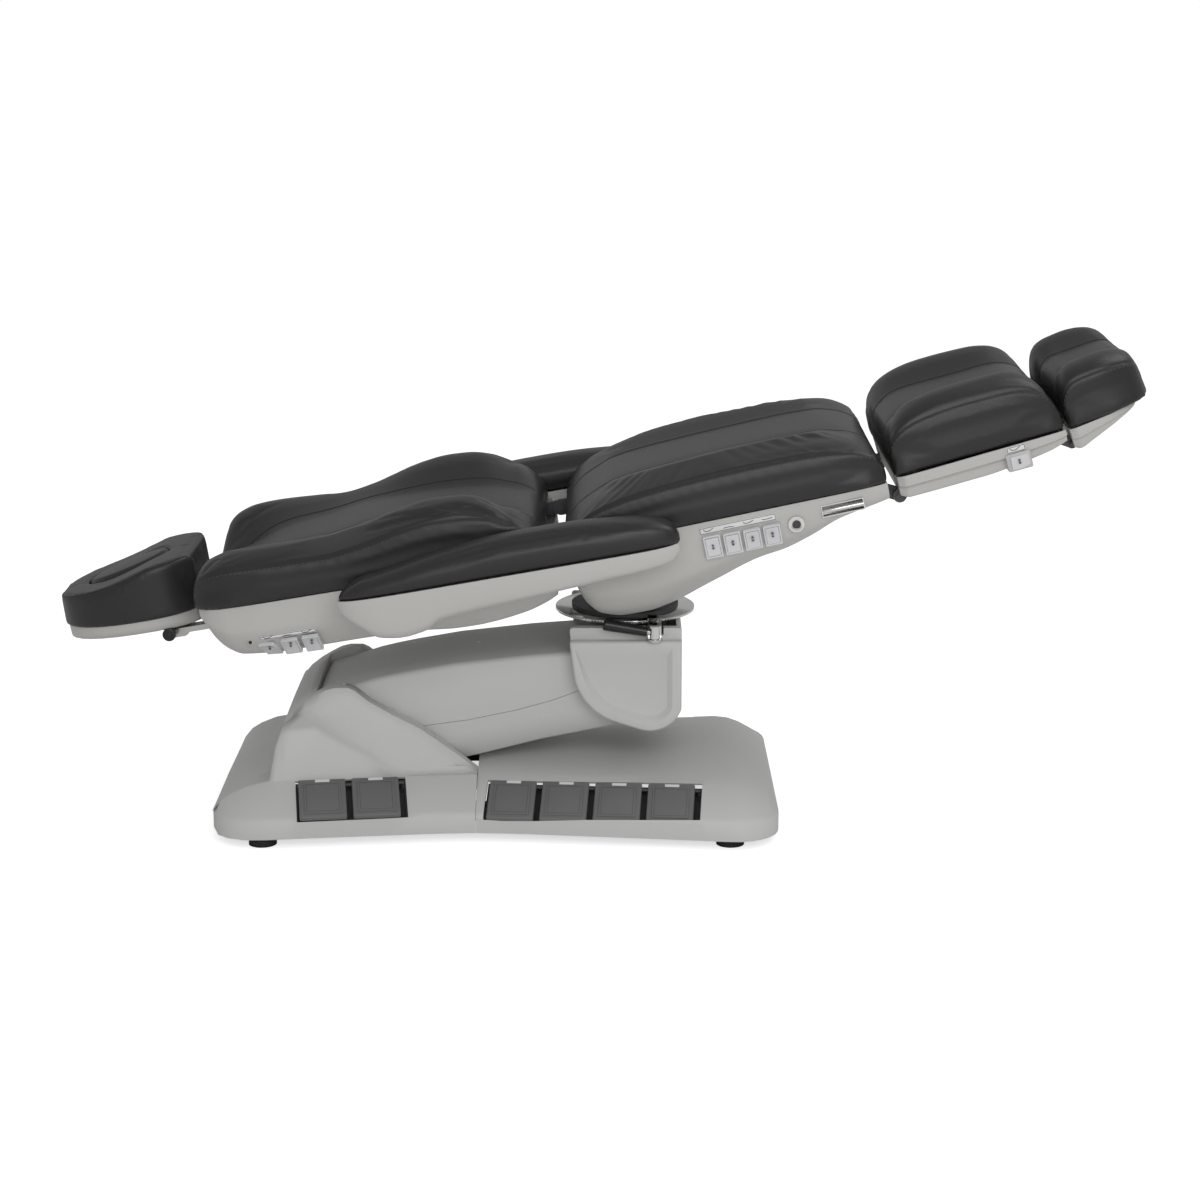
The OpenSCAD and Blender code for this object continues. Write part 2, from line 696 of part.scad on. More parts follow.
// Steel column between the links and the swivel disc
module head_block() color("dimgray") {
    both_sides() translate([head_x, pedestal_y + pedestal_t, 0]) rotate([90, 0, 0])
        linear_extrude(pedestal_t) union() {
        translate([-head_plate_w / 2, head_z - link_gap])
            square([head_plate_w, disc_low - hub_h - head_z + link_gap]);
        translate([0, head_z - link_gap]) circle(d = head_plate_w);
    }
    translate([head_x - head_plate_w / 2, -pedestal_y - pedestal_t, disc_low - hub_h - column_plate])
        cube([head_plate_w, 2 * (pedestal_y + pedestal_t), column_plate]);
    difference() {
        union() {
            translate([swivel_x, 0, disc_low - hub_h]) cylinder(d = hub_d, h = hub_h);
            translate([head_x - head_plate_w / 2, gap - bracket_reach, disc_low - 2 * bracket_t])
                cube([head_plate_w, 2 * (bracket_reach - gap), bracket_t]);
        }
        translate([swivel_x, 0, disc_low - spindle_h - gap])
            cylinder(d = spindle_d + 2 * run_gap, h = spindle_h + overrun);
    }
    for (z = [[head_z, pivot_d], [head_z - link_gap, lower_pivot_d]]) {
        cross_rod(head_x, z[0], z[1], -pin_reach, -pedestal_y - pedestal_t);
        cross_rod(head_x, z[0], z[1], pedestal_y + pedestal_t, pin_reach);
    }
}
bracket_t = 5;
bracket_reach = slot_half - 2;

d_low_r = 60;
d_low_x = 100;
d_low_z = 238;
d_side_r = 108;
d_side_x = 70;
d_side_z = 298;
d_top_z = 366;
d_left_x = -44;
d_right_x = 157;
d_corner_r = 6;
d_neck_z = 345;
d_neck_in = 17;
d_recess = 9;
d_recess_in = 17;
d_recess_slope = 9;

// Side outline of the head covers, shrunk by t
module d_outline(t, top = d_top_z) intersection() {
    translate([-2 * d_side_r, top - t - 4 * d_side_r])
        square([2 * d_side_r + d_right_x - t, 4 * d_side_r]);
    hull() {
        translate([d_low_x, d_low_z]) circle(r = d_low_r - t);
        translate([d_side_x, d_side_z]) circle(r = d_side_r - t);
        translate([d_left_x + d_corner_r, top - d_corner_r]) circle(r = max(d_corner_r - t, 0.5));
        translate([d_right_x - d_corner_r, top - d_corner_r]) circle(r = max(d_corner_r - t, 0.5));
    }
}

// Extrudes a side outline between two distances from the middle
module across(y0, y1) {
    translate([0, y1, 0]) rotate([90, 0, 0]) linear_extrude(y1 - y0) children();
}

// Side covers of the head, with a shallow recess, joined by the front wall
module head_covers() color("silver") moulded() difference() {
    union() {
        across(-head_w / 2 + d_neck_in, head_w / 2 - d_neck_in) d_outline(0);
        hull() {
            across(-head_w / 2 + 3, head_w / 2 - 3) d_outline(0, d_neck_z);
            across(-head_w / 2, head_w / 2) d_outline(3, d_neck_z);
        }
    }
    hull() {
        across(-slot_half + 2, slot_half - 2) translate([-cover_wall, 0])
            d_outline(cover_wall + 2, d_top_z + 4 * d_corner_r);
        across(-slot_half + 2, slot_half - 2) translate([-d_side_r, -d_low_r])
            d_outline(cover_wall, d_top_z);
    }
    across(-slot_half + 2, slot_half - 2) translate([d_low_x - 2 * d_side_r, d_low_z - 2 * d_low_r])
        square([2 * d_side_r + 0.8 * d_low_r, 1.2 * d_low_r]);
    both_sides() hull() {
        across(head_w / 2 - d_recess, head_w / 2 + overrun)
            d_outline(d_recess_in + d_recess_slope, d_neck_z - 2);
        across(head_w / 2, head_w / 2 + overrun) d_outline(d_recess_in, d_neck_z + 4);
    }
    both_sides() across(slot_half - 3, head_w / 2 - d_recess - cover_wall)
        d_outline(cover_wall + 3, d_neck_z);
    translate([lever_x - strap_w / 2 - body_gap, -head_w / 2, strap_z - body_gap])
        cube([strap_w + 2 * body_gap, head_w / 2, disc_t + hub_h]);
}

lever_x = 108;
lever_y = -168;
lever_boss_d = 18;
strap_z = 356.5;
strap_t = 5;
strap_w = 24;
jaw_t = 6;
jaw_gap = 0.6;
jaw_over = 12;
post_y = -156;
post_t = 8;
ear_low_z = 347;
ear_high_z = 372;
lever_ear_t = 4.5;
lever_pin_d = 8;
grip_d = 22;
grip_len = 90;
grip_core_d = 10;
grip_start = 14;
grip_turn = -5;
grip_lift = 9;
rim_y = -sqrt(pow(disc_d / 2, 2) - pow(lever_x - swivel_x, 2));

// Strap, jaw and ears that hold the clamp lever at the disc's rim
module brake_caliper() color("#d0d0d0") difference() {
    union() {
        block([lever_x - strap_w / 2, post_y, strap_z],
            [lever_x + strap_w / 2, -hub_d / 2 + jaw_over, strap_z + strap_t]);
        block([lever_x - strap_w / 2, rim_y - jaw_over, strap_z],
            [lever_x + strap_w / 2, rim_y + jaw_over, disc_z + jaw_t]);
        block([lever_x - strap_w / 2, post_y, ear_low_z],
            [lever_x + strap_w / 2, post_y + post_t, ear_high_z + lever_ear_t]);
        for (z = [ear_low_z, ear_high_z]) {
            block([lever_x - strap_w / 2, lever_y, z],
                [lever_x + strap_w / 2, post_y + post_t, z + lever_ear_t]);
            translate([lever_x, lever_y, z]) cylinder(d = strap_w, h = lever_ear_t);
        }
        translate([lever_x, lever_y, ear_low_z]) cylinder(d = lever_pin_d, h = ear_high_z - ear_low_z);
    }
    translate([swivel_x, 0, disc_low - jaw_gap])
        cylinder(d = disc_d + 2 * jaw_gap, h = disc_t + 2 * jaw_gap);
    translate([swivel_x, 0, disc_low - hub_h]) cylinder(d = hub_d + 2 * gap, h = hub_h + overrun);
    translate([head_x, 0, disc_low - 2 * bracket_t + bracket_t / 2])
        cube([head_plate_w + 2 * gap, 2 * slot_half, bracket_t + 2 * gap], center = true);
}

// Places the lever's rod axis, which leans up and in towards its end
module lever_axis() {
    translate([lever_x, lever_y, (ear_low_z + ear_high_z + lever_ear_t) / 2]) rotate([0, 0, grip_turn])
        rotate([0, grip_lift - 90, 0]) children();
}

// Clamp lever: bored eye and core rod
module brake_lever() color("#d0d0d0") difference() {
    union() {
        translate([lever_x, lever_y, ear_low_z + lever_ear_t + gap])
            cylinder(d = lever_boss_d, h = ear_high_z - ear_low_z - lever_ear_t - 2 * gap);
        lever_axis() cylinder(d = grip_core_d, h = grip_len);
    }
    translate([lever_x, lever_y, ear_low_z]) cylinder(d = lever_pin_d + 2 * run_gap,
        h = ear_high_z - ear_low_z);
}

// Black grip on the clamp lever
module lever_grip() color("black") lever_axis() difference() {
    union() {
        translate([0, 0, grip_start]) cylinder(d1 = grip_d * 0.8, d2 = grip_d, h = grip_len - grip_start);
        translate([0, 0, grip_len]) cylinder(d1 = grip_d, d2 = grip_d * 0.82, h = grip_d * 0.14);
    }
    translate([0, 0, grip_start - overrun]) cylinder(d = grip_core_d,
        h = grip_len - grip_start + overrun);
}

// Turntable

ear_y = 75;
ear_t = 12;
ear_w = 60;
yoke_plate_t = 7;
yoke_plate_d = 196;
tilt_pin_d = 16;
tilt_x = seat_x + tilt_s * cos(seat_deg) - tilt_h * sin(seat_deg);
tilt_z = seat_z + tilt_s * sin(seat_deg) + tilt_h * cos(seat_deg);

// Polished disc that turns on the head, with its spindle
module swivel_disc() color("#d0d0d0") {
    translate([swivel_x, 0, disc_low]) cylinder(d = disc_d, h = disc_t, $fn = 96);
    translate([swivel_x, 0, disc_low - spindle_h]) cylinder(d = spindle_d, h = spindle_h);
}

// Yoke on the disc that carries the seat's tilt pin
module turntable_yoke() color("dimgray") {
    translate([swivel_x, 0, disc_z]) cylinder(d = yoke_plate_d, h = yoke_plate_t);
    both_sides() across(ear_y, ear_y + ear_t) {
        translate([tilt_x - ear_w / 2, disc_z + yoke_plate_t])
            square([ear_w, tilt_z - disc_z - yoke_plate_t]);
        translate([tilt_x, tilt_z]) circle(d = ear_w);
    }
    cross_rod(tilt_x, tilt_z, tilt_pin_d, -ear_y, ear_y);
}

// Seat

frame_rail_y = 195;
frame_rail_w = 30;
frame_rail_h = 30;
frame_drop = 0.3;
cross_w = 30;
lug_t = 10;
lug_y = 200;
lug_r = 17;
hinge_pin_d = 14;
tilt_lug_y = 60;
tilt_lug_w = 52;
knee_lug_y = 150;
knee_pin_d = 12;
cross_places = [20, 150, 330, 474];

// Seat section frame
module on_seat() {
    tilted(seat_x, seat_z, seat_deg) children();
}

// Flat bar between two round ends, along a section, thickness t outward from y
module lug(x0, z0, x1, z1, r, y, t) {
    a = atan2(z1 - z0, x1 - x0);
    l = sqrt(pow(x1 - x0, 2) + pow(z1 - z0, 2));
    across(y, y + t) {
        translate([x0, z0]) circle(r = r);
        translate([x1, z1]) circle(r = r);
        translate([x0, z0]) rotate([0, 0, a]) translate([0, gap - r]) square([l, 2 * r - 2 * gap]);
    }
}

// Welded seat frame with its hinge lugs
module seat_frame() color("dimgray") on_seat() {
    top = seat_base - frame_drop;
    low = top - frame_rail_h;
    both_sides() {
        block([-seat_head + 14, frame_rail_y, low], [seat_foot - 12, frame_rail_y + frame_rail_w, top]);
        lug(recline_s, recline_h, 0, recline_h - 2, lug_r - 2, lug_y, lug_t);
        difference() {
            lug(tilt_s, tilt_h, tilt_s, top - lug_r - tilt_lug_w / 2, tilt_lug_w / 2, tilt_lug_y, lug_t);
            cross_rod(tilt_s, tilt_h, tilt_pin_d + 2 * run_gap, 0, frame_rail_y);
        }
        lug(knee_s, knee_h, cross_places[3] + cross_w / 2, low + 14, lug_r - 5, knee_lug_y, lug_t);
    }
    for (s = cross_places) block([s, -frame_rail_y, low + 4], [s + cross_w, frame_rail_y, top]);
    both_sides() {
        cross_rod(recline_s, recline_h, hinge_pin_d, lug_y - 6, lug_y + lug_t + 18);
        cross_rod(knee_s, knee_h, knee_pin_d, knee_lug_y - 4, knee_lug_y + lug_t + 16);
    }
}

seat_shell_w = 544;
seat_belly_shares = [[0, 0.5], [0.02, 0.7], [0.06, 0.88], [0.13, 0.975], [0.2, 1], [0.27, 0.985],
    [0.42, 0.86], [0.58, 0.7],
    [0.66, 0.66], [0.75, 0.56], [0.84, 0.42], [0.94, 0.34], [1, 0.3]];
seat_side_shares = [[0, 0.9], [0.06, 0.96], [0.2, 1], [0.8, 1], [0.95, 0.985], [1, 0.955]];
belly_profile_shares = [[1, 0], [1.003, 0.12], [0.995, 0.35], [0.965, 0.56], [0.9, 0.68], [0.74, 0.84],
    [0.5, 0.96], [0, 1]];

// Half outline of a shell: half width w, rim height z, depth d, shrunk by t
function shell_half(w, z, d, t, profile) = [for (p = profile) [p[0] * (w - t), z - p[1] * (d - t)]];

// Half width of a shell's wall at share v of its depth
function wall_share(v, profile) = lookup(v, [for (p = profile) [p[1], p[0]]]);

// Shell of a section: its ends, half width, rim height, depth, and side, belly and profile tables
module section_shell(shell, n) {
    us = crowded(n);
    t = skin_wall;
    s0 = shell[0];
    s1 = shell[1];
    function half(u, k) = shell_half(shell[2] * lookup(u, shell[5]), shell[3],
        shell[4] * lookup(u, shell[6]), k, shell[7]);
    tray([for (u = us) bowl(s0 + u * (s1 - s0), half(u, 0))],
        [for (u = us) bowl(s0 + t + u * (s1 - s0 - 2 * t),
            half((t + u * (s1 - s0 - 2 * t)) / (s1 - s0), t))]);
}

// Open line of points across the part at x, from the near rim under the middle to the far rim
function bowl(x, half) = concat([for (p = half) [x, -p[0], p[1]]],
    [for (i = [len(half) - 2:-1:0]) [x, half[i][0], half[i][1]]]);

seat_shell_head = -seat_head + 3;
seat_shell_foot = seat_foot - 2;
yoke_cut = [96, 2 * (ear_y + ear_t) + 18];
seat_walls = [seat_shell_head, seat_shell_foot, seat_shell_w / 2, seat_base, seat_belly, seat_side_shares,
    seat_belly_shares,
    belly_profile_shares];
handle_s = 438;
handle_h = 42;
handle_w = 84;
handle_cup_h = 22;
handle_cup_d = 26;

// Moulded seat shell, open below for the yoke and cut for its hinges
module seat_shell() color("silver") {
    for (k = [0:3]) seat_switch_place(k) seat_pad(0);
    on_seat() moulded() seat_walls_cut();
}

// Seat shell with its openings
module seat_walls_cut() difference() {
    section_shell(seat_walls, 12);
    block([tilt_s - yoke_cut[0] / 2, -yoke_cut[1] / 2, -seat_belly],
        [tilt_s + yoke_cut[0] / 2, yoke_cut[1] / 2, -frame_rail_h]);
    block([seat_shell_head - overrun, -frame_rail_y - frame_rail_w, recline_h - lug_r - 2],
        [seat_shell_head + 2 * skin_wall, frame_rail_y + frame_rail_w, seat_base + overrun]);
    both_sides() block([seat_foot - 20, knee_lug_y - 5, -10],
        [seat_foot + overrun, knee_lug_y + lug_t + 18, seat_base + overrun]);
    translate([handle_s, -seat_shell_w / 2, handle_h])
        cube([handle_w - 8, 2 * handle_cup_d, handle_cup_h], center = true);
    translate([socket_s, -seat_shell_w / 2, socket_h]) rotate([90, 0, 0])
        cylinder(d = socket_d, h = 4 * socket_d, center = true);
}

// Cushion profile: shares of half width and of height up to the ridge
cushion_side_shares = [[0, 0], [0.88, 0], [0.965, 0.03], [0.99, 0.1], [0.975, 0.3], [0.965, 0.5],
    [0.985, 0.7], [0.972, 0.8],
    [0.91, 0.925], [0.82, 0.985], [0.73, 1]];
// Cushion profile from the ridge inward: shares of half width and of the fall to the seam
cushion_dip_shares = [[0.63, 0.84], [0.52, 0.45], [0.43, 0.12], [0.36, -0.06], [0.3, 0.04], [0.15, 0.09],
    [0, 0.1]];

// Ring of a cushion at s: half width w, underside z, ridge height a, seam height b
function cushion_ring(s, w, z, a, b) = ring(s, concat([for (p = cushion_side_shares) [p[0] * w, z + a * p[1]]],
    [for (p = cushion_dip_shares) [p[0] * w, z + b + (a - b) * p[1]]]));

seat_ridge_shares = [[0, 0.12], [0.008, 0.22], [0.03, 0.39], [0.07, 0.58], [0.136, 0.76], [0.244, 0.89],
    [0.383, 0.96], [0.54, 1],
    [0.7, 1.01], [0.81, 0.985], [0.9, 0.89], [0.96, 0.71], [0.985, 0.56], [1, 0.3]];
seat_dip_shares = [[0, 1], [0.06, 0.97], [0.2, 0.87], [0.5, 0.84], [0.8, 0.86], [0.95, 0.96], [1, 1]];

// Seat cushion with raised sides and a shallow middle
module seat_cushion() color("#3a3839") on_seat() skin([for (u = crowded(16))
    let (w = seat_w / 2 * (1 - 0.1 * (1 - rise(min(u, 1 - u) * seat_len, 50, 2))),
        a = seat_t * lookup(u, seat_ridge_shares))
    cushion_ring(u * seat_len - seat_head, w, seat_base + gap, a, a * lookup(u, seat_dip_shares))]);

// Switches

bezel_rim = 3;
bezel_t = 7;
bezel_floor = 1.6;
rocker_t = 5;
rocker_pin_d = 2.4;
rocker_gap = 0.5;

wall_gap = 1.2;

// Half width of a shell at s and height h
function wall_y(shell, s, h) = let (u = (s - shell[0]) / (shell[1] - shell[0]))
    shell[2] * lookup(u, shell[5]) * wall_share((shell[3] - h) / (shell[4] * lookup(u, shell[6])),
        shell[7]);

// Frame on a shell's near side: x along it, y up the wall, z out of it
module on_wall(shell, s, h) {
    e = rocker_w / 12;
    ds = (wall_y(shell, s + e, h) - wall_y(shell, s - e, h)) / (2 * e);
    dh = (wall_y(shell, s, h + e) - wall_y(shell, s, h - e)) / (2 * e);
    along = [1, -ds, 0] / norm([1, -ds, 0]);
    out = [-ds, -1, -dh] / norm([ds, 1, dh]);
    up = cross(out, along);
    turn = [for (k = [0:2]) [along[k], up[k], out[k], 0]];
    translate([s, -wall_y(shell, s, h), h]) multmatrix([each turn, [0, 0, 0, 1]])
        translate([0, 0, wall_gap]) children();
}

// Bezel of one rocker with its pin
module bezel() {
    w = rocker_w + 2 * bezel_rim;
    l = rocker_len + 2 * bezel_rim;
    difference() {
        translate([-w / 2, -l / 2, 0]) cube([w, l, bezel_t]);
        translate([-rocker_w / 2, -rocker_len / 2, bezel_floor]) cube([rocker_w, rocker_len, bezel_t]);
    }
    translate([-rocker_w / 2, 0, bezel_t - rocker_pin_d / 2 - 1]) rotate([0, 90, 0])
        cylinder(d = rocker_pin_d, h = rocker_w);
}

// Flat pad on a shell under a bezel that stands out further by t
module seat_pad(t) {
    deep = t + wall_gap + skin_wall / 2;
    translate([-rocker_w / 2, -rocker_len / 2, -deep]) cube([rocker_w, rocker_len, deep]);
}

// Rocker that tips on the bezel's pin
module rocker() {
    w = rocker_w - 2 * rocker_gap;
    l = rocker_len - 4 * rocker_gap;
    translate([0, 0, bezel_t - rocker_pin_d / 2 - 1]) difference() {
        translate([-w / 2, 0, 0]) rotate([0, 90, 0]) linear_extrude(w)
            polygon([[-rocker_t / 2, -l / 2], [-rocker_t / 2 + 1, 0], [-rocker_t / 2, l / 2],
                [rocker_t / 2 - 2.6, l / 2],
                [rocker_t / 2, 3], [rocker_t / 2, -3], [rocker_t / 2 - 2.6, -l / 2]]);
        translate([-w, 0, 0]) rotate([0, 90, 0]) cylinder(d = rocker_pin_d + 2 * run_gap, h = 2 * w);
    }
}

seat_switch_s = [205, 240, 275, 310];
seat_switch_h = 22;
module seat_switch_place(k) {
    on_seat() on_wall(seat_walls, seat_switch_s[k], seat_switch_h) children();
}
module seat_switch_bezels() color("white") for (k = [0:3]) seat_switch_place(k) bezel();
module seat_switch_1() color("white") seat_switch_place(0) rocker();
module seat_switch_2() color("white") seat_switch_place(1) rocker();
module seat_switch_3() color("white") seat_switch_place(2) rocker();
module seat_switch_4() color("white") seat_switch_place(3) rocker();

socket_s = 354;
socket_h = 30;
socket_d = 22;
socket_flange_d = 28;
socket_bore_d = 15;
socket_len = 26;

// Round socket for a hand control
module hand_control_socket() color("#d0d0d0") on_seat()
    translate([socket_s, -seat_shell_w / 2, socket_h]) rotate([90, 0, 0]) difference() {
        union() {
            translate([0, 0, -socket_len]) cylinder(d = socket_d - 2 * gap, h = socket_len);
            cylinder(d = socket_d - 2 * gap, h = wall_gap);
            translate([0, 0, wall_gap]) cylinder(d = socket_flange_d, h = 2.4);
        }
        translate([0, 0, -socket_len * 0.6]) cylinder(d = socket_bore_d, h = socket_len);
    }

handle_bar_d = 9;
handle_wall = 2;

// Chrome bar in a cup on the near side
module side_handle() color("#d0d0d0") on_seat() translate([handle_s, -seat_shell_w / 2, handle_h]) {
    difference() {
        translate([0, handle_cup_d / 2 - 1, 0])
            cube([handle_w - 8 - 2 * gap, handle_cup_d, handle_cup_h - 2 * gap], center = true);
        translate([0, handle_cup_d / 2 - 1 - handle_wall, 0])
            cube([handle_w - 8 - 2 * gap - 2 * handle_wall, handle_cup_d,
                handle_cup_h - 2 * gap - 2 * handle_wall], center = true);
    }
    translate([-handle_w / 2 + 4 + handle_wall, 0, 0]) rotate([0, 90, 0])
        cylinder(d = handle_bar_d, h = handle_w - 8 - 2 * handle_wall);
}

motor_places = [[130, 120], [110, 0], [120, -120]];
motor_top_in = 4;
unit_len = 205;
unit_gear = [70, 52, 30];

// Screw motors under the seat frame
module seat_motors() color("#2c2c2e") on_seat() for (p = motor_places)
    let (h = seat_base - frame_rail_h - frame_drop - unit_gear[2] / 2 + motor_top_in - gap)
    translate([p[0], p[1], h]) {
    translate([0, -unit_gear[1] / 2, -unit_gear[2] / 2]) cube(unit_gear);
    translate([unit_gear[0], 0, -unit_gear[2] / 8]) rotate([0, 90, 0])
        cylinder(d = unit_gear[2], h = unit_len - unit_gear[0]);
}

// Back

// Back section frame
module on_back() {
    tilted(recline_x, recline_z, back_deg) children();
}

back_rail_y = 214;
guide_y = 62;
guide_w = 36;
guide_h = 20;
guide_z = -52;
rail_w2 = 30;
rail_h2 = 10;
back_cross = [-60, -260, -460, -590];
elbow_d = 24;
elbow_reach = 300;

// Welded back frame with hinge lugs, headrest guides and the arm pins
module back_frame() color("dimgray") on_back() {
    top = back_base - frame_drop;
    low = top - frame_rail_h;
    both_sides() {
        block([-back_len + 30, back_rail_y - frame_rail_w, low], [-34, back_rail_y, top]);
        difference() {
            lug(0, 0, -60, low + lug_r - 4, lug_r - 5, lug_y + lug_t + 2, lug_t);
            cross_rod(0, 0, hinge_pin_d + 2 * run_gap, 0, back_w);
        }
    }
    for (s = back_cross) block([s, -back_rail_y + frame_rail_w, low + 6],
        [s + cross_w, back_rail_y - frame_rail_w, top]);
    both_sides() for (s = [back_cross[2], back_cross[3]]) difference() {
        block([s, guide_y, guide_z - guide_h / 2], [s + cross_w, guide_y + guide_w, low + 6]);
        translate([s - overrun, guide_y + (guide_w - rail_w2) / 2 - slide_gap,
            guide_z - rail_h2 / 2 - slide_gap])
            cube([cross_w + 2 * overrun, rail_w2 + 2 * slide_gap, rail_h2 + 2 * slide_gap]);
    }
    both_sides() {
        block([elbow_s - 20, back_rail_y - frame_rail_w, elbow_h - 20], [elbow_s + 20, back_rail_y, low]);
        cross_rod(elbow_s, elbow_h, elbow_d, back_rail_y - lug_t, elbow_reach);
    }
}

back_shell_w = 544;
back_belly_shares = [[0, 0.12], [0.03, 0.3], [0.07, 0.45], [0.13, 0.56], [0.24, 0.66], [0.4, 0.76],
    [0.53, 0.87], [0.66, 0.98],
    [0.75, 1], [0.86, 0.95], [0.94, 0.84], [1, 0.66]];
back_side_shares = [[0, 0.86], [0.03, 0.93], [0.08, 0.98], [0.2, 1], [0.9, 1], [1, 0.94]];
back_shell_foot = -12;
back_shell_head = -back_len + 2;
back_profile_shares = [[1, 0], [1.003, 0.2], [1, 0.45], [0.985, 0.56], [0.945, 0.72], [0.9, 0.86],
    [0.85, 0.96],
    [0.8, 0.99], [0.7, 1], [0, 1]];
back_walls = [back_shell_head, back_shell_foot, back_shell_w / 2, back_base, back_belly, back_side_shares,
    back_belly_shares,
    back_profile_shares];

// Moulded back shell
module back_shell() color("silver") {
    for (k = [0:2]) back_switch_place(k) seat_pad(0);
    on_back() moulded() back_walls_cut();
}

// Back shell with its openings
module back_walls_cut() difference() {
    section_shell(back_walls, 12);
    block([back_shell_foot - 2 * skin_wall, -back_rail_y - frame_rail_w, -lug_r - 2],
        [back_shell_foot + overrun, back_rail_y + frame_rail_w, back_base + overrun]);
    both_sides() block([-back_len - overrun, guide_y - 2, guide_z - guide_h / 2],
        [-back_len + 120, guide_y + guide_w + 2, guide_z + guide_h / 2]);
    cross_rod(elbow_s, elbow_h, elbow_d + 2, -back_w, back_w);
}

back_ridge_shares = [[0, 0.25], [0.012, 0.55], [0.03, 0.77], [0.065, 0.93], [0.12, 1], [0.196, 0.995],
    [0.307, 0.965],
    [0.4045, 0.955], [0.4935, 1], [0.929, 1], [0.963, 0.81], [0.982, 0.643], [0.9935, 0.452], [1, 0.214]];
lumbar_shares = [[0.4045, 0], [0.4935, 0.14], [0.6117, 0.667], [0.712, 0.944], [0.793, 0.89],
    [0.8625, 0.61], [0.929, 0], [1, 0]];
back_dip_shares = [[0, 0.22], [0.03, 0.3], [0.08, 0.32], [0.118, 0.38], [0.197, 0.6], [0.254, 0.69],
    [0.358, 0.76], [0.503, 0.9],
    [0.676, 0.93], [0.83, 0.86], [0.929, 0.72], [0.967, 0.6], [0.985, 0.47], [1, 0.2]];
recline_room = 22;
back_side_round = 90;
back_lead = 8;

// Back cushion: shoulder sides that swell at the loins round a lower middle panel
module back_cushion() color("#3a3839") on_back() skin([for (u = crowded(18))
    let (run = back_len - recline_room + back_lead)
    let (head_in = 0.2 * (1 - rise(u * run, back_side_round, 2)))
    let (w = back_w / 2 * (1 - head_in - 0.05 * (1 - rise((1 - u) * run, back_side_round, 2))))
    cushion_ring(u * run - back_len - back_lead, w, back_base + gap,
        back_t * lookup(u, back_ridge_shares) + lumbar_t * lookup(u, lumbar_shares),
        back_t * lookup(u, back_dip_shares))]);

back_switch_s = [-524, -486, -448];
back_switch_h = -72;
module back_switch_place(k) {
    on_back() on_wall(back_walls, back_switch_s[k], back_switch_h) children();
}
module back_switch_bezels() color("white") for (k = [0:2]) back_switch_place(k) bezel();
module back_switch_1() color("white") back_switch_place(0) rocker();
module back_switch_2() color("white") back_switch_place(1) rocker();
module back_switch_3() color("white") back_switch_place(2) rocker();

// Headrest

neck_pin_d = 10;
disc_nut_t = 8;
rail_len = 330;
neck_ear_t = 5;
neck_ear_r = 17;

// Slide rails with the ears of the headrest joint
module headrest_rails() color("silver") on_back() {
    both_sides() {
        block([neck_s, guide_y + (guide_w - rail_w2) / 2, guide_z - rail_h2 / 2],
            [neck_s + rail_len, guide_y + (guide_w + rail_w2) / 2, guide_z + rail_h2 / 2]);
        lug(neck_s, neck_h, neck_s + neck_ear_r, neck_h, neck_ear_r - 4,
            guide_y + (guide_w - rail_w2) / 2 - neck_ear_t, neck_ear_t);
    }
    block([neck_s + neck_ear_r, -guide_y - rail_w2, guide_z - rail_h2 / 2],
        [neck_s + 2 * neck_ear_r, guide_y + rail_w2, guide_z + rail_h2 / 2]);
    cross_rod(neck_s, neck_h, neck_pin_d, -guide_y - neck_ear_t, guide_y + neck_ear_t);
}

// Headrest section frame
module on_rest() {
    tilted(neck_x, neck_z, back_deg) children();
}

rest_tip = -199;
rest_base = 42;
rest_tray = 26;
rest_plate_t = 3;
rest_plate_z = rest_base - rest_tray - rest_plate_t - gap;
nut_y = 38;

// Bracket under the headrest with its round friction nuts
module headrest_bracket() color("silver") on_rest() {
    both_sides() difference() {
        lug(0, 0, 0, 14, neck_ear_r, nut_y + disc_nut_t / 2, neck_ear_t);
        cross_rod(0, 0, neck_pin_d + 2 * run_gap, 0, guide_y);
        block([-neck_ear_r - overrun, 0, rest_plate_z + rest_plate_t - overrun],
            [neck_ear_r + overrun, guide_y, 4 * neck_ear_r]);
    }
    difference() {
        block([rest_tip + 38, -guide_y + 6, rest_plate_z],
            [30, guide_y - 6, rest_plate_z + rest_plate_t]);
        translate([face_s - 20, 0, rest_plate_z - overrun]) linear_extrude(rest_plate_t + 2 * overrun) {
            for (k = [-20, 20]) translate([k, 0]) circle(d = face_w - 20);
            square([40, face_w - 20], center = true);
        }
    }
}

// Half width of the headrest at share u from its tip
function rest_half(u) = rest_w / 2 * pow(max(1 - pow(1 - min(u / 0.62, 1), 2.3), 0),
    1 / 2.3) * pow(1 - pow(0.82 * max(u - 0.62, 0) / 0.38, 2.4), 1 / 2.4);

rest_stations = [0.008, 0.03, 0.07, 0.13, 0.2, 0.3, 0.42, 0.55, 0.7, 0.82, 0.91, 0.96, 0.985, 1];
face_s = rest_tip + 0.5 * rest_len;
face_gap = 1.2;
rest_top_shares = [[0, 0.5], [0.02, 0.57], [0.1, 0.62], [0.3, 0.69], [0.45, 0.78], [0.6, 0.9], [0.73, 1],
    [0.85, 1.04],
    [0.97, 1.06], [0.99, 1.04], [1, 0.98]];
rest_box_shares = [[0, 0], [0.9, 0], [0.985, 0.04], [1, 0.12], [1, 0.85], [0.985, 0.95], [0.95, 0.99],
    [0.9, 1], [0, 1]];

// Oval prism, grown from the face hole's size
module face_slab(grow, z0, z1) {
    translate([0, 0, z0]) linear_extrude(z1 - z0) resize([face_len + 2 * grow, face_w + 2 * grow])
        circle(d = face_w, $fn = 40);
}

// Oval prism in the place of the face hole
module face_oval(grow, z0, z1) {
    translate([face_s, 0, 0]) face_slab(grow, z0, z1);
}

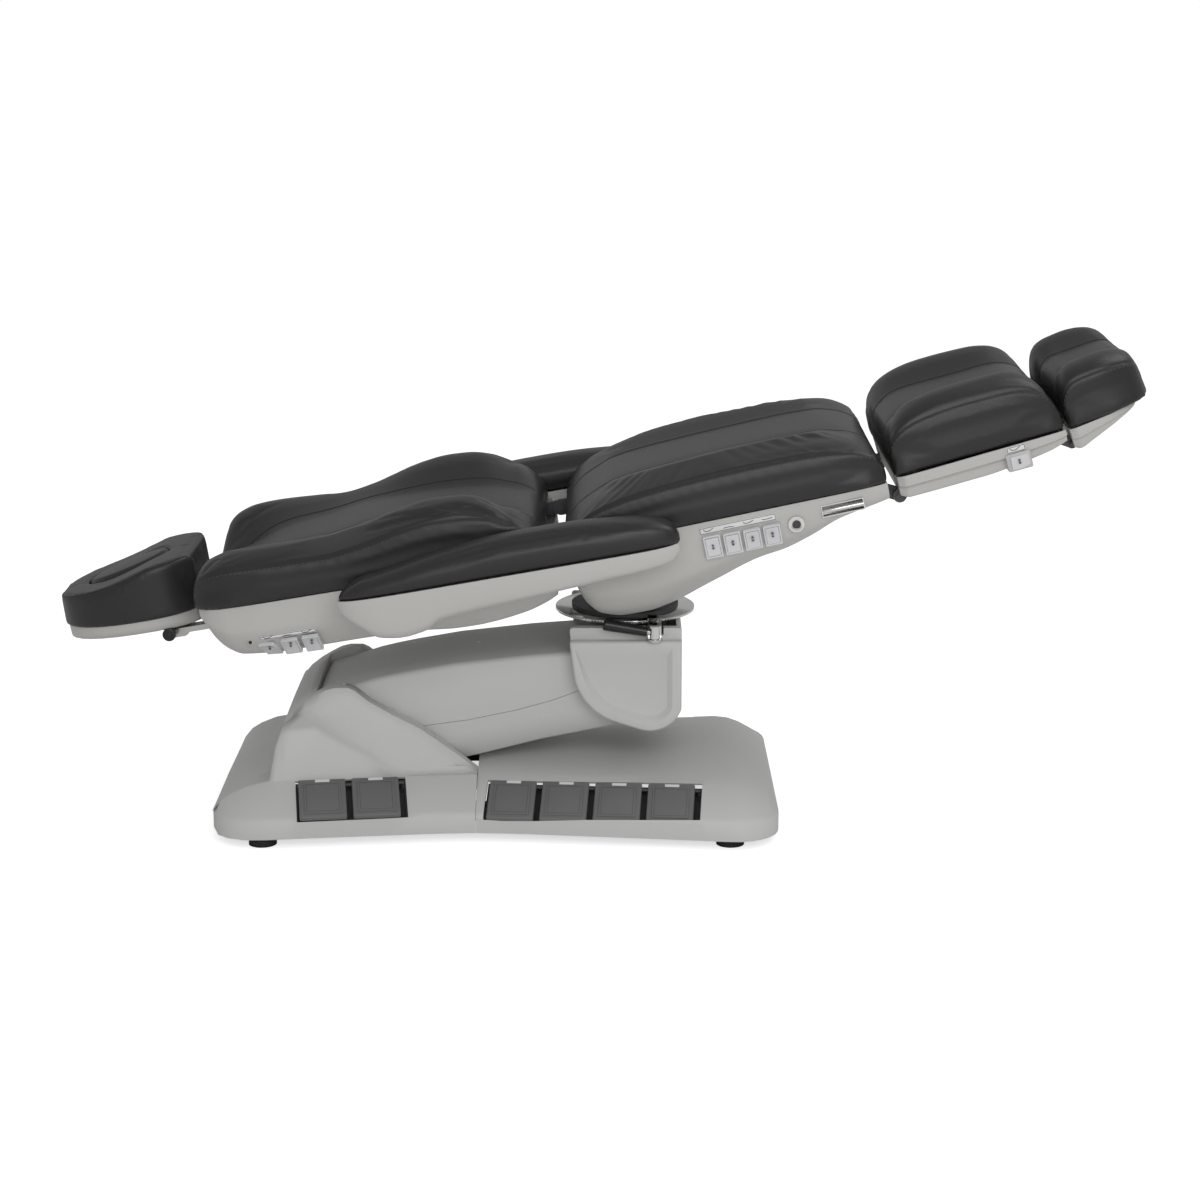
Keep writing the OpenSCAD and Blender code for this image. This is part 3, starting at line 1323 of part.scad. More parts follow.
// Headrest cushion with its face hole
module headrest_cushion() color("#3a3839") on_rest() moulded() difference() {
    skin([for (u = rest_stations)
        let (a = rest_t * lookup(u, rest_top_shares))
        ring(rest_tip + u * rest_len, [for (p = rest_box_shares) [p[0] * rest_half(u),
            rest_base + gap + p[1] * a]])]);
    face_oval(face_gap, rest_base - overrun, rest_base + 2 * rest_t);
}

// Padded plug of the face hole, which lifts out
module face_plug() color("#3a3839") on_rest() moulded() translate([face_s, 0, 0]) {
    face_slab(0, plug_low, plug_mid);
    hull() {
        face_slab(0, plug_mid - overrun, plug_mid);
        translate([0, 0, plug_top]) rotate([0, -plug_tilt, 0]) {
            face_slab(-overrun, -plug_round - overrun, -plug_round);
            face_slab(-overrun - plug_round * 0.3, -plug_round, -plug_round * 0.35);
            face_slab(-plug_round, -plug_round, 0);
        }
    }
}

plug_tilt = 13;
plug_mid = rest_base + 0.3 * rest_t;
plug_top = rest_base + rest_t * lookup(0.5, rest_top_shares) + 7;
plug_low = rest_base - rest_tray + skin_wall + gap;
plug_round = 10;

rest_profile_shares = [[1, 0], [1, 0.4], [0.97, 0.75], [0.9, 0.95], [0.8, 1], [0.5, 1], [0, 1]];

// Thin tray under the headrest cushion
module headrest_shell() color("silver") on_rest() moulded() difference() {
    tray([for (u = rest_stations) bowl(rest_tip + 4 + u * (rest_len - 10),
        shell_half(rest_half(u) * 0.95, rest_base, rest_tray, 0, rest_profile_shares))],
        [for (u = rest_stations) bowl(rest_tip + 4 + skin_wall + u * (rest_len - 10 - 2 * skin_wall),
            shell_half(max(rest_half(u) * 0.95, 2 * skin_wall), rest_base, rest_tray, skin_wall,
                rest_profile_shares))]);
    face_oval(-12, 0, rest_base);
}

// Leg rest

leg_rail_s = [10, 290];
leg_rail_y = 162;
leg_rail_w = 20;
leg_rail_h = [22, 34];
guide_s = [60, 150];
guide_len = 30;
guide_wall = 3;
ankle_pin_d = 10;
ankle_lug_y = 140;
ankle_lug_t = 10;
foot_lug_t = 8;

// Calf section frame
module on_calf() {
    tilted(knee_x, knee_z, calf_deg) children();
}

// Leg rails that hinge at the knee
module leg_rails() color("dimgray") on_calf() both_sides() {
    block([leg_rail_s[0], leg_rail_y, leg_rail_h[0]],
        [leg_rail_s[1], leg_rail_y + leg_rail_w, leg_rail_h[1]]);
    difference() {
        lug(0, 0, leg_rail_s[0] + leg_rail_w, leg_rail_h[0] + 3, knee_pin_d, leg_rail_y + 2, lug_t);
        cross_rod(0, 0, knee_pin_d + 2 * run_gap, 0, calf_w);
    }
}

// Frame that slides on the leg rails and carries the foot hinge
module calf_frame() color("dimgray") on_calf() {
    low = leg_rail_h[0] - slide_gap - guide_wall;
    high = leg_rail_h[1] + slide_gap + guide_wall;
    side = leg_rail_y - slide_gap - guide_wall;
    both_sides() {
        for (s = guide_s) difference() {
            block([s, side, low], [s + guide_len, leg_rail_y + leg_rail_w + slide_gap + guide_wall,
                high]);
            block([s - overrun, leg_rail_y - slide_gap, leg_rail_h[0] - slide_gap],
                [s + guide_len + overrun, leg_rail_y + leg_rail_w + slide_gap,
                    leg_rail_h[1] + slide_gap]);
        }
        block([guide_s[0], ankle_lug_y, leg_rail_h[0]],
            [ankle_s - 3 * ankle_pin_d, ankle_lug_y + ankle_lug_t, leg_rail_h[1]]);
        for (s = guide_s) block([s, ankle_lug_y + ankle_lug_t, leg_rail_h[0]],
            [s + guide_len, side, leg_rail_h[1]]);
        lug(ankle_s - 3 * ankle_pin_d, leg_rail_h[0] + ankle_pin_d / 2, ankle_s, ankle_h, ankle_pin_d,
            ankle_lug_y, ankle_lug_t);
        cross_rod(ankle_s, ankle_h, ankle_pin_d, ankle_lug_y, ankle_lug_y + ankle_lug_t + foot_lug_t + 6);
    }
    for (s = guide_s) block([s, -ankle_lug_y, leg_rail_h[0] + 2],
        [s + guide_len, ankle_lug_y, leg_rail_h[1] - 2]);
}

calf_depth = 45;
calf_side_shares = [[0, 0.97], [0.05, 1], [0.5, 0.965], [0.95, 0.92], [1, 0.9]];
calf_depth_shares = [[0, 0.84], [0.05, 0.97], [0.5, 0.98], [0.72, 0.86], [0.9, 0.7], [1, 0.52]];
step_profile_shares = [[1, 0], [1.002, 0.42], [0.985, 0.47], [0.955, 0.49], [0.95, 0.86], [0.92, 0.97],
    [0.85, 1], [0, 1]];
calf_walls = [0, calf_len - 4, calf_w / 2, calf_base, calf_depth, calf_side_shares, calf_depth_shares,
    step_profile_shares];
leg_cut = 44;

// Stepped shell of the calf rest
module calf_shell() color("silver") {
    on_calf() moulded() difference() {
        section_shell(calf_walls, 12);
        both_sides() block([-overrun, knee_lug_y - 5, -calf_base],
            [leg_cut, leg_rail_y + leg_rail_w + 4, leg_rail_h[1] + 4]);
        both_sides() block([calf_len - 32, ankle_lug_y - 3, ankle_h - 16],
            [calf_len, ankle_lug_y + ankle_lug_t + 3, leg_rail_h[1] + 7]);
    }
    calf_switch_place() {
        bezel();
        seat_pad(calf_boss_t);
    }
}

calf_switch_s = 212;
calf_switch_h = 17;
calf_boss_t = 12;

// Place of the switch on the calf shell's step, lying along it
module calf_switch_place() {
    on_calf() on_wall(calf_walls, calf_switch_s, calf_switch_h)
        translate([0, 0, calf_boss_t]) rotate([0, 0, 90]) children();
}
module calf_switch() color("white") calf_switch_place() rocker();

calf_ridge_shares = [[0, 0.4], [0.01, 0.52], [0.03, 0.66], [0.07, 0.78], [0.13, 0.88], [0.22, 0.95],
    [0.36, 1], [0.5, 1.01],
    [0.68, 1], [0.8, 0.96], [0.88, 0.87], [0.94, 0.7], [0.975, 0.5], [1, 0.25]];
leg_dip_shares = [[0, 0.9], [0.12, 0.82], [0.5, 0.76], [0.8, 0.8], [0.94, 0.9], [1, 1]];

// Calf cushion with two ridges
module calf_cushion() color("#3a3839") on_calf() skin([for (u = crowded(14))
    let (in = 0.05 * (1 - rise(min(u, 1 - u) * calf_len, 30, 2)),
        w = (calf_w + u * (calf_end_w - calf_w)) / 2 * (1 - in))
    let (a = calf_t * lookup(u, calf_ridge_shares))
    cushion_ring(u * calf_len - 4, w, calf_base + gap, a, a * lookup(u, leg_dip_shares))]);

// Foot section frame
module on_foot() {
    tilted(ankle_x, ankle_z, foot_deg) children();
}

foot_depth = 42;
foot_side_shares = [[0, 0.97], [0.1, 1], [0.5, 0.985], [0.75, 0.93], [0.9, 0.83], [1, 0.62]];
foot_depth_shares = [[0, 0.9], [0.06, 1], [0.25, 0.84], [0.55, 0.56], [0.85, 0.3], [1, 0.2]];

// Wedge shell of the foot rest with its hinge lugs
module foot_shell() color("silver") {
    on_foot() moulded() difference() {
        section_shell([0, foot_len - 19, foot_w / 2 * 0.98, foot_base, foot_depth, foot_side_shares,
            foot_depth_shares,
            step_profile_shares], 10);
        both_sides() block([0, ankle_lug_y - 3, -foot_depth],
            [26, ankle_lug_y + ankle_lug_t + foot_lug_t + 8, foot_base - 6]);
    }
    on_foot() both_sides() difference() {
        union() {
            lug(0, 0, 34, foot_base - 14, ankle_pin_d - 1, ankle_lug_y + ankle_lug_t + 1, foot_lug_t);
            block([30, ankle_lug_y, foot_base - 12],
                [62, ankle_lug_y + ankle_lug_t + foot_lug_t, foot_base]);
        }
        cross_rod(0, 0, ankle_pin_d + 2 * run_gap, 0, foot_w);
    }
}

foot_ridge_shares = [[0, 0.38], [0.02, 0.56], [0.06, 0.75], [0.12, 0.89], [0.2, 0.97], [0.32, 1],
    [0.5, 1], [0.65, 0.98],
    [0.8, 0.93], [0.9, 0.86], [0.96, 0.77], [0.985, 0.66], [1, 0.45]];
foot_side_round_shares = [[0, 0.95], [0.1, 0.99], [0.5, 1], [0.8, 0.95], [0.93, 0.86], [1, 0.7]];

// Foot cushion with two ridges
module foot_cushion() color("#3a3839") on_foot() skin([for (u = crowded(11))
    let (a = foot_t * lookup(u, foot_ridge_shares))
    cushion_ring(u * foot_len, foot_w / 2 * lookup(u, foot_side_round_shares), foot_base + gap, a,
        a * lookup(u, leg_dip_shares))]);

// Arms

arm_y = 338;
arm_tail = -94;
arm_base = 55;
hub_r = 22;
hub_in = 292.5;
hub_t = 24;
arm_side_shares = [[0, 0.42], [0.015, 0.6], [0.05, 0.8], [0.12, 0.94], [0.25, 1], [0.8, 1], [0.9, 0.95],
    [0.96, 0.8], [0.985, 0.62], [1, 0.42]];
arm_depth_shares = [[0, 0.3], [0.02, 0.45], [0.057, 0.68], [0.103, 0.93], [0.171, 1], [0.24, 0.93],
    [0.286, 0.76],
    [0.4, 0.68], [0.514, 0.63], [0.63, 0.58], [0.8, 0.5], [0.9, 0.46], [0.97, 0.38], [1, 0.2]];
arm_profile_shares = [[1, 0], [1, 0.25], [0.97, 0.55], [0.88, 0.8], [0.66, 0.95], [0.35, 1], [0, 1]];
arm_top_shares = [[0, 0.1], [0.02, 0.3], [0.06, 0.42], [0.12, 0.5], [0.28, 0.78], [0.42, 0.93], [0.5, 1],
    [0.65, 1],
    [0.86, 0.87], [0.95, 0.7], [0.985, 0.48], [1, 0.15]];
arm_ring_shares = [[0, 0], [0.85, 0], [0.96, 0.1], [1, 0.35], [0.97, 0.66], [0.83, 0.88], [0.55, 0.97],
    [0, 1]];

// Places an arm on side k of the back
module arm_place(k) {
    tilted(elbow_x, elbow_z, arm_deg) translate([0, k * arm_y, 0]) children();
}

// Arm shell with the bored hub of its hinge
module arm_shell(k) color("silver") {
    arm_place(k) moulded() difference() {
        section_shell([arm_tail, arm_tail + arm_len, arm_w / 2, arm_base, arm_depth, arm_side_shares,
            arm_depth_shares,
            arm_profile_shares], 12);
        translate([0, -k * (arm_y - hub_in) * 1.5, 0]) rotate([90, 0, 0])
            cylinder(d = elbow_d + 2, h = 0.75 * arm_w, center = true);
    }
    tilted(elbow_x, elbow_z, arm_deg) translate([0, k > 0 ? hub_in + hub_t : -hub_in, 0])
        rotate([90, 0, 0]) difference() {
        union() {
            cylinder(r = hub_r, h = hub_t);
            translate([-hub_r, 0, 0]) cube([2 * hub_r, arm_base - gap - overrun, hub_t]);
        }
        translate([0, 0, -overrun]) cylinder(d = elbow_d + 2 * run_gap, h = hub_t + 2 * overrun);
    }
}

// Arm pad with a tapered tail
module arm_pad(k) color("#3a3839") arm_place(k) skin([for (u = crowded(15))
    let (w = arm_w / 2 * lookup(u, arm_side_shares), t = arm_pad_t * lookup(u, arm_top_shares))
    ring(arm_tail + 3 + u * (arm_len + 1), [for (p = arm_ring_shares) [p[0] * w,
        arm_base + gap + p[1] * t]])]);

module arm_shell_near() arm_shell(-1);
module arm_pad_near() arm_pad(-1);
module arm_shell_far() arm_shell(1);
module arm_pad_far() arm_pad(1);

// Drawing

base_frame();
deck_cover();
tower_cover();
levelling_feet();
pedal_trays();
power_unit();
pedal_1();
pedal_2();
pedal_3();
pedal_4();
pedal_5();
pedal_6();
far_pedals_rear();
far_pedals_front();
lift_motor();
lift_rod();
lift_arm();
arm_covers();
level_link();
head_block();
head_covers();
brake_caliper();
brake_lever();
lever_grip();
swivel_disc();
turntable_yoke();
seat_frame();
seat_shell();
seat_cushion();
seat_switch_bezels();
seat_switch_1();
seat_switch_2();
seat_switch_3();
seat_switch_4();
hand_control_socket();
side_handle();
seat_motors();
back_frame();
back_shell();
back_cushion();
back_switch_bezels();
back_switch_1();
back_switch_2();
back_switch_3();
headrest_rails();
headrest_bracket();
headrest_shell();
headrest_cushion();
face_plug();
leg_rails();
calf_frame();
calf_shell();
calf_cushion();
calf_switch();
foot_shell();
foot_cushion();
arm_shell_near();
arm_pad_near();
arm_shell_far();
arm_pad_far();
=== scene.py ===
import json
import math

import bmesh
import bpy
import numpy as np
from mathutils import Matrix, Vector
from mathutils.bvhtree import BVHTree
from mathutils.kdtree import KDTree


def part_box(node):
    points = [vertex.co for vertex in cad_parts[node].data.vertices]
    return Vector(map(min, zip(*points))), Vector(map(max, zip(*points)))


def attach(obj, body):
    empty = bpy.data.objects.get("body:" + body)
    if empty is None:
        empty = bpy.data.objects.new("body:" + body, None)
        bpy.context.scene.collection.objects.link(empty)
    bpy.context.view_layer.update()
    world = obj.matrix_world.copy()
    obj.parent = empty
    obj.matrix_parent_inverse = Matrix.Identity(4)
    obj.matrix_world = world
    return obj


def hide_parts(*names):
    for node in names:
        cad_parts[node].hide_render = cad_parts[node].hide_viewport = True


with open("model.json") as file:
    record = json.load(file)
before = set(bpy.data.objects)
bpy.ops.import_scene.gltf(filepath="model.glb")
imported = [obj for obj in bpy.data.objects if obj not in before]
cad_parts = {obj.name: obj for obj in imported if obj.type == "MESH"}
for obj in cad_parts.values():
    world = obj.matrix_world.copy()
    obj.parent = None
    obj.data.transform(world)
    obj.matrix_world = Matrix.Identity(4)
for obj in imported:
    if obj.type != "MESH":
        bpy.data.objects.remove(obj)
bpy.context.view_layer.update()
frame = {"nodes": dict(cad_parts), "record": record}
mm = 0.001
print("frame loaded")

# Each section of the table has its own frame: s along it, y across, h up from it. Sizes are in millimetres.


def sectionFrame(parent, s, h, degrees):
    # a frame placed at (s, h) of its parent, turned head end down by its own angle
    x, z, turn = parent
    c, d = math.cos(math.radians(turn)), math.sin(math.radians(turn))
    return (x + s * c - h * d, z + s * d + h * c, degrees)


floorFrame = (0.0, 0.0, 0.0)
seatFrame = sectionFrame(floorFrame, 10, 480, 12)
backFrame = sectionFrame(seatFrame, -65, 50, 9.5)
calfFrame = sectionFrame(seatFrame, 545, 20, 15.5)
footFrame = sectionFrame(calfFrame, 317, 6, 22)
neckFrame = sectionFrame(backFrame, -724, -57, 9.5)
armPivot = (-284, -41)
armFrame = sectionFrame(backFrame, *armPivot, 10)
armOffset = 338
photoView = dict(place=(0.010, -4.85, 1.552), pitch=13.56, focal=2703.0, pixels=1200.0)


def inFrame(place, s, y, h):
    # millimetres in a section's frame to metres in the room
    x, z, turn = place
    c, d = math.cos(math.radians(turn)), math.sin(math.radians(turn))
    return np.stack([x + s * c - h * d, y + 0 * s, z + s * d + h * c], axis=-1) * mm


def smooth(table, at):
    # cubic through the table's points with slopes that never overshoot them
    xs, ys = np.array(table, float).T
    step = np.diff(xs)
    rate = np.diff(ys) / step
    slope = np.zeros(len(xs))
    both = rate[:-1] * rate[1:]
    safe = np.where(both > 0, rate[:-1] + rate[1:], 1)
    slope[1:-1] = np.where(both > 0, 2 * both / safe, 0)
    slope[0], slope[-1] = rate[0], rate[-1]
    at = np.clip(np.asarray(at, float), xs[0], xs[-1])
    k = np.clip(np.searchsorted(xs, at, side="right") - 1, 0, len(xs) - 2)
    t = (at - xs[k]) / step[k]
    return (
        (2 * t**3 - 3 * t**2 + 1) * ys[k]
        + (t**3 - 2 * t**2 + t) * step[k] * slope[k]
        + (3 * t**2 - 2 * t**3) * ys[k + 1]
        + (t**3 - t**2) * step[k] * slope[k + 1]
    )


def rise(distance, radius, power):
    # rounded rise from 0 at an edge to 1 a radius away from it
    t = np.clip(distance / radius, 0, 1)
    return (1 - (1 - t) ** power) ** (1 / power)


def crowded(count):
    # shares from 0 to 1 that crowd towards both ends
    return (1 - np.cos(np.pi * np.arange(count + 1) / count)) / 2


def lengthAlong(line):
    # length of a line of points up to each of them
    return np.concatenate([[0], np.cumsum(np.linalg.norm(np.diff(line, axis=0), axis=1))])


def alongCurve(points, count, weights):
    # channels resampled smoothly along the length of the line they draw
    points = np.array(points, float)
    drawn = points @ np.array(weights, float)
    length = lengthAlong(drawn)
    at = np.linspace(0, length[-1], count)
    return np.stack([smooth(np.stack([length, c], 1), at) for c in points.T], 1)


def meshPiece(name, vertices, faces, material, body, smoothAngle=None):
    # a named piece from point and face lists, with its finish and its body
    piece = rawObject(name, vertices, faces)
    piece.data.validate()
    finish(piece, material, body, smoothAngle)
    return piece


def finish(piece, material, body, smoothAngle=None):
    # material, shading, body and slot of a piece
    piece.data.materials.clear()
    piece.data.materials.append(material)
    shadeSmooth(piece, smoothAngle)
    if body:
        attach(piece, body)


def shadeSmooth(piece, angle):
    # smooth shading that stays sharp over an angle in degrees
    mesh = piece.data
    mesh.polygons.foreach_set("use_smooth", np.ones(len(mesh.polygons), bool))
    if angle:
        mesh.set_sharp_from_angle(angle=math.radians(angle))
    mesh.update()


def gridFaces(rows, columns, closed=False):
    # quads over a grid of points held row by row
    i = np.arange(rows - 1)[:, None]
    j = np.arange(columns if closed else columns - 1)[None, :]
    k = (j + 1) % columns
    a, b = i * columns + j, i * columns + k
    return np.stack([a, a + columns, b + columns, b], -1).reshape(-1, 4).tolist()


def tubeFaces(rows, around, base=0):
    # a closed tube of rings with flat ends, numbered from a base
    last = (rows - 1) * around
    caps = [list(range(around)), list(range(last, last + around))[::-1]]
    return [[base + k for k in f] for f in gridFaces(rows, around, closed=True) + caps]


def tidyMesh(piece, distance=1e-5):
    # merges doubles and turns every face outwards
    work = bmesh.new()
    work.from_mesh(piece.data)
    bmesh.ops.remove_doubles(work, verts=work.verts, dist=distance)
    bmesh.ops.recalc_face_normals(work, faces=work.faces)
    work.to_mesh(piece.data)
    work.free()


def applyModifiers(piece):
    # swaps the mesh for the one that its modifiers make
    graph = bpy.context.evaluated_depsgraph_get()
    done = bpy.data.meshes.new_from_object(piece.evaluated_get(graph))
    piece.modifiers.clear()
    old = piece.data
    piece.data = done
    bpy.data.meshes.remove(old)


def cutAway(piece, cutter):
    # takes the cutter's space out of a piece
    cut = piece.modifiers.new("cut", "BOOLEAN")
    cut.operation = "DIFFERENCE"
    cut.solver = "EXACT"
    cut.object = cutter
    bpy.context.view_layer.update()
    applyModifiers(piece)
    bpy.data.objects.remove(cutter)


def linked(name, data):
    # a new object in the scene, at the origin
    made = bpy.data.objects.new(name, data)
    bpy.context.scene.collection.objects.link(made)
    return made


def rawObject(name, vertices, faces):
    # a bare object from point and face lists
    mesh = bpy.data.meshes.new(name)
    mesh.from_pydata(np.asarray(vertices).tolist(), [], faces)
    return linked(name, mesh)


boxSides = [[0, 1, 3, 2], [4, 6, 7, 5], [0, 4, 5, 1], [2, 3, 7, 6], [0, 2, 6, 4], [1, 5, 7, 3]]


def boxCutter(place, low, high):
    # box between two corners of a section's frame
    low, high = np.array(low, float), np.array(high, float)
    pick = np.array([[i, j, k] for i in (0, 1) for j in (0, 1) for k in (0, 1)])
    corner = low + pick * (high - low)
    return rawObject("cutter", inFrame(place, *corner.T), boxSides)


def slotPair(place, s, y, h):
    # the same slot on both sides of the middle, from its ranges along, across and up
    return [boxCutter(place, (s[0], a, h[0]), (s[1], b, h[1])) for a, b in (y, (-y[1], -y[0]))]


def turns(count):
    # angles all the way round
    return np.arange(count) * 2 * np.pi / count


def drum(name, ends, count):
    # closed solid between two rings of points
    sides = [[i, (i + 1) % count, count + (i + 1) % count, count + i] for i in range(count)]
    caps = [list(range(count))[::-1], list(range(count, 2 * count))]
    return rawObject(name, np.concatenate(ends), sides + caps)


def rodCutter(place, s, h, radius, y0, y1, count=48):
    # round rod across the table
    turn = turns(count)
    s0, h0 = s + radius * np.cos(turn), h + radius * np.sin(turn)
    return drum("cutter", [inFrame(place, s0, np.full(count, y), h0) for y in (y0, y1)], count)


def edgeRound(piece, width, segments=2, angle=35):
    # bevels the edges that are sharper than an angle in degrees
    bevel = piece.modifiers.new("edge", "BEVEL")
    bevel.width = width * mm
    bevel.segments = segments
    bevel.limit_method = "ANGLE"
    bevel.angle_limit = math.radians(angle)
    bevel.use_clamp_overlap = True
    bevel.harden_normals = False


def linearColour(code):
    # sRGB hex value to linear light
    part = np.array([int(code[k : k + 2], 16) for k in (1, 3, 5)]) / 255
    bright = np.where(part <= 0.04045, part / 12.92, ((part + 0.055) / 1.055) ** 2.4)
    return (*bright.tolist(), 1.0)


def addNode(tree, kind, settings=None, links=None):
    # a shader node with its values and what feeds its inputs
    made = tree.nodes.new(kind)
    for key, value in (settings or {}).items():
        if isinstance(key, int) or key in made.inputs:
            made.inputs[key].default_value = value
        else:
            setattr(made, key, value)
    for key, source in (links or {}).items():
        tree.links.new(source, made.inputs[key])
    return made


def newMaterial(name):
    material = bpy.data.materials.new(name)
    material.use_nodes = True
    tree = material.node_tree
    tree.nodes.clear()
    return material, tree


def surfaceOut(tree, shader):
    addNode(tree, "ShaderNodeOutputMaterial", links={"Surface": shader.outputs[0]})


def objectPlace(tree):
    return addNode(tree, "ShaderNodeTexCoord").outputs["Object"]


def noise(tree, where, size, detail):
    # noise whose grain has a size in millimetres
    settings = {"Scale": 1 / (size * mm), "Detail": detail}
    return addNode(tree, "ShaderNodeTexNoise", settings, {"Vector": where})


def drifting(tree, look, source, drift):
    # roughness that follows a texture
    span = {"To Min": look["rough"] - drift, "To Max": look["rough"] + drift}
    return addNode(tree, "ShaderNodeMapRange", span, {"Value": source})


def raised(tree, strength, depth, height, under=None):
    # bump from a height texture, over another bump if there is one
    links = {"Height": height}
    if under:
        links["Normal"] = under.outputs[0]
    return addNode(tree, "ShaderNodeBump", {"Strength": strength, "Distance": depth * mm}, links)


def coated(tree, where, look, gloss, bump, settings):
    # the surface shader itself
    colour = mottled(tree, where, look)
    feeds = {"Base Color": colour, "Roughness": gloss.outputs[0], "Normal": bump.outputs[0]}
    surfaceOut(tree, addNode(tree, "ShaderNodeBsdfPrincipled", settings, feeds))


def mottled(tree, where, look):
    # two close tones that drift over the surface
    drift = noise(tree, where, look["driftSize"], 3.0)
    return addNode(
        tree,
        "ShaderNodeMix",
        {"data_type": "RGBA", 6: linearColour(look["tone"]), 7: linearColour(look["toneTo"])},
        {0: drift.outputs["Fac"]},
    ).outputs[2]


def plastic(name, look):
    # moulded or painted surface: fine spark texture, drifting gloss, two close tones
    material, tree = newMaterial(name)
    where = objectPlace(tree)
    grain = noise(tree, where, look["grainSize"], 2.0)
    wave = noise(tree, where, look["waveSize"], 1.0)
    gloss = drifting(tree, look, wave.outputs["Fac"], look["roughDrift"])
    bump = raised(tree, look["bump"], look["bumpDepth"], grain.outputs["Fac"])
    metal, coat = look.get("metal", 0.0), look.get("coat", 0.0)
    settings = {"Metallic": metal, "Coat Weight": coat, "Coat Roughness": 0.2}
    coated(tree, where, look, gloss, bump, settings)
    return material


def hide(name, look):
    # coated upholstery hide: small closed cells with fine creases between them, over slow soft waves
    material, tree = newMaterial(name)
    where = objectPlace(tree)
    bend = noise(tree, where, look["waveSize"], 3.0)
    cells = addNode(
        tree,
        "ShaderNodeTexVoronoi",
        {"feature": "DISTANCE_TO_EDGE", "Scale": 1 / (look["cellSize"] * mm), "Randomness": 1.0},
        {"Vector": where},
    )
    depth = cells.outputs["Distance"]
    crease = addNode(tree, "ShaderNodeMapRange", {"From Max": 0.25, "To Max": 1.0}, {"Value": depth})
    fine = noise(tree, where, look["poreSize"], 2.0)
    feeds = {0: fine.outputs["Fac"], 2: crease.outputs[0]}
    height = addNode(tree, "ShaderNodeMath", {"operation": "MULTIPLY_ADD", 1: 0.35}, feeds)
    low = raised(tree, look["waveBump"], look["waveDepth"], bend.outputs["Fac"])
    bump = raised(tree, look["bump"], look["bumpDepth"], height.outputs[0], low)
    gloss = drifting(tree, look, crease.outputs[0], -look["roughDrift"])
    settings = {"Sheen Weight": look["sheen"], "Sheen Roughness": 0.5, "Specular IOR Level": look["shine"]}
    coated(tree, where, look, gloss, bump, settings)
    return material


def brushed(name, look):
    # bare or plated metal with a fine lay from its finishing
    material, tree = newMaterial(name)
    where = objectPlace(tree)
    lay = addNode(tree, "ShaderNodeMapping", {"Scale": (1.0, 1.0, look["stretch"])}, {"Vector": where})
    lines = noise(tree, lay.outputs[0], look["grainSize"], 2.0)
    gloss = drifting(tree, look, lines.outputs["Fac"], look["roughDrift"])
    bump = raised(tree, look["bump"], look["bumpDepth"], lines.outputs["Fac"])
    coated(tree, where, look, gloss, bump, {"Metallic": 1.0})
    return material


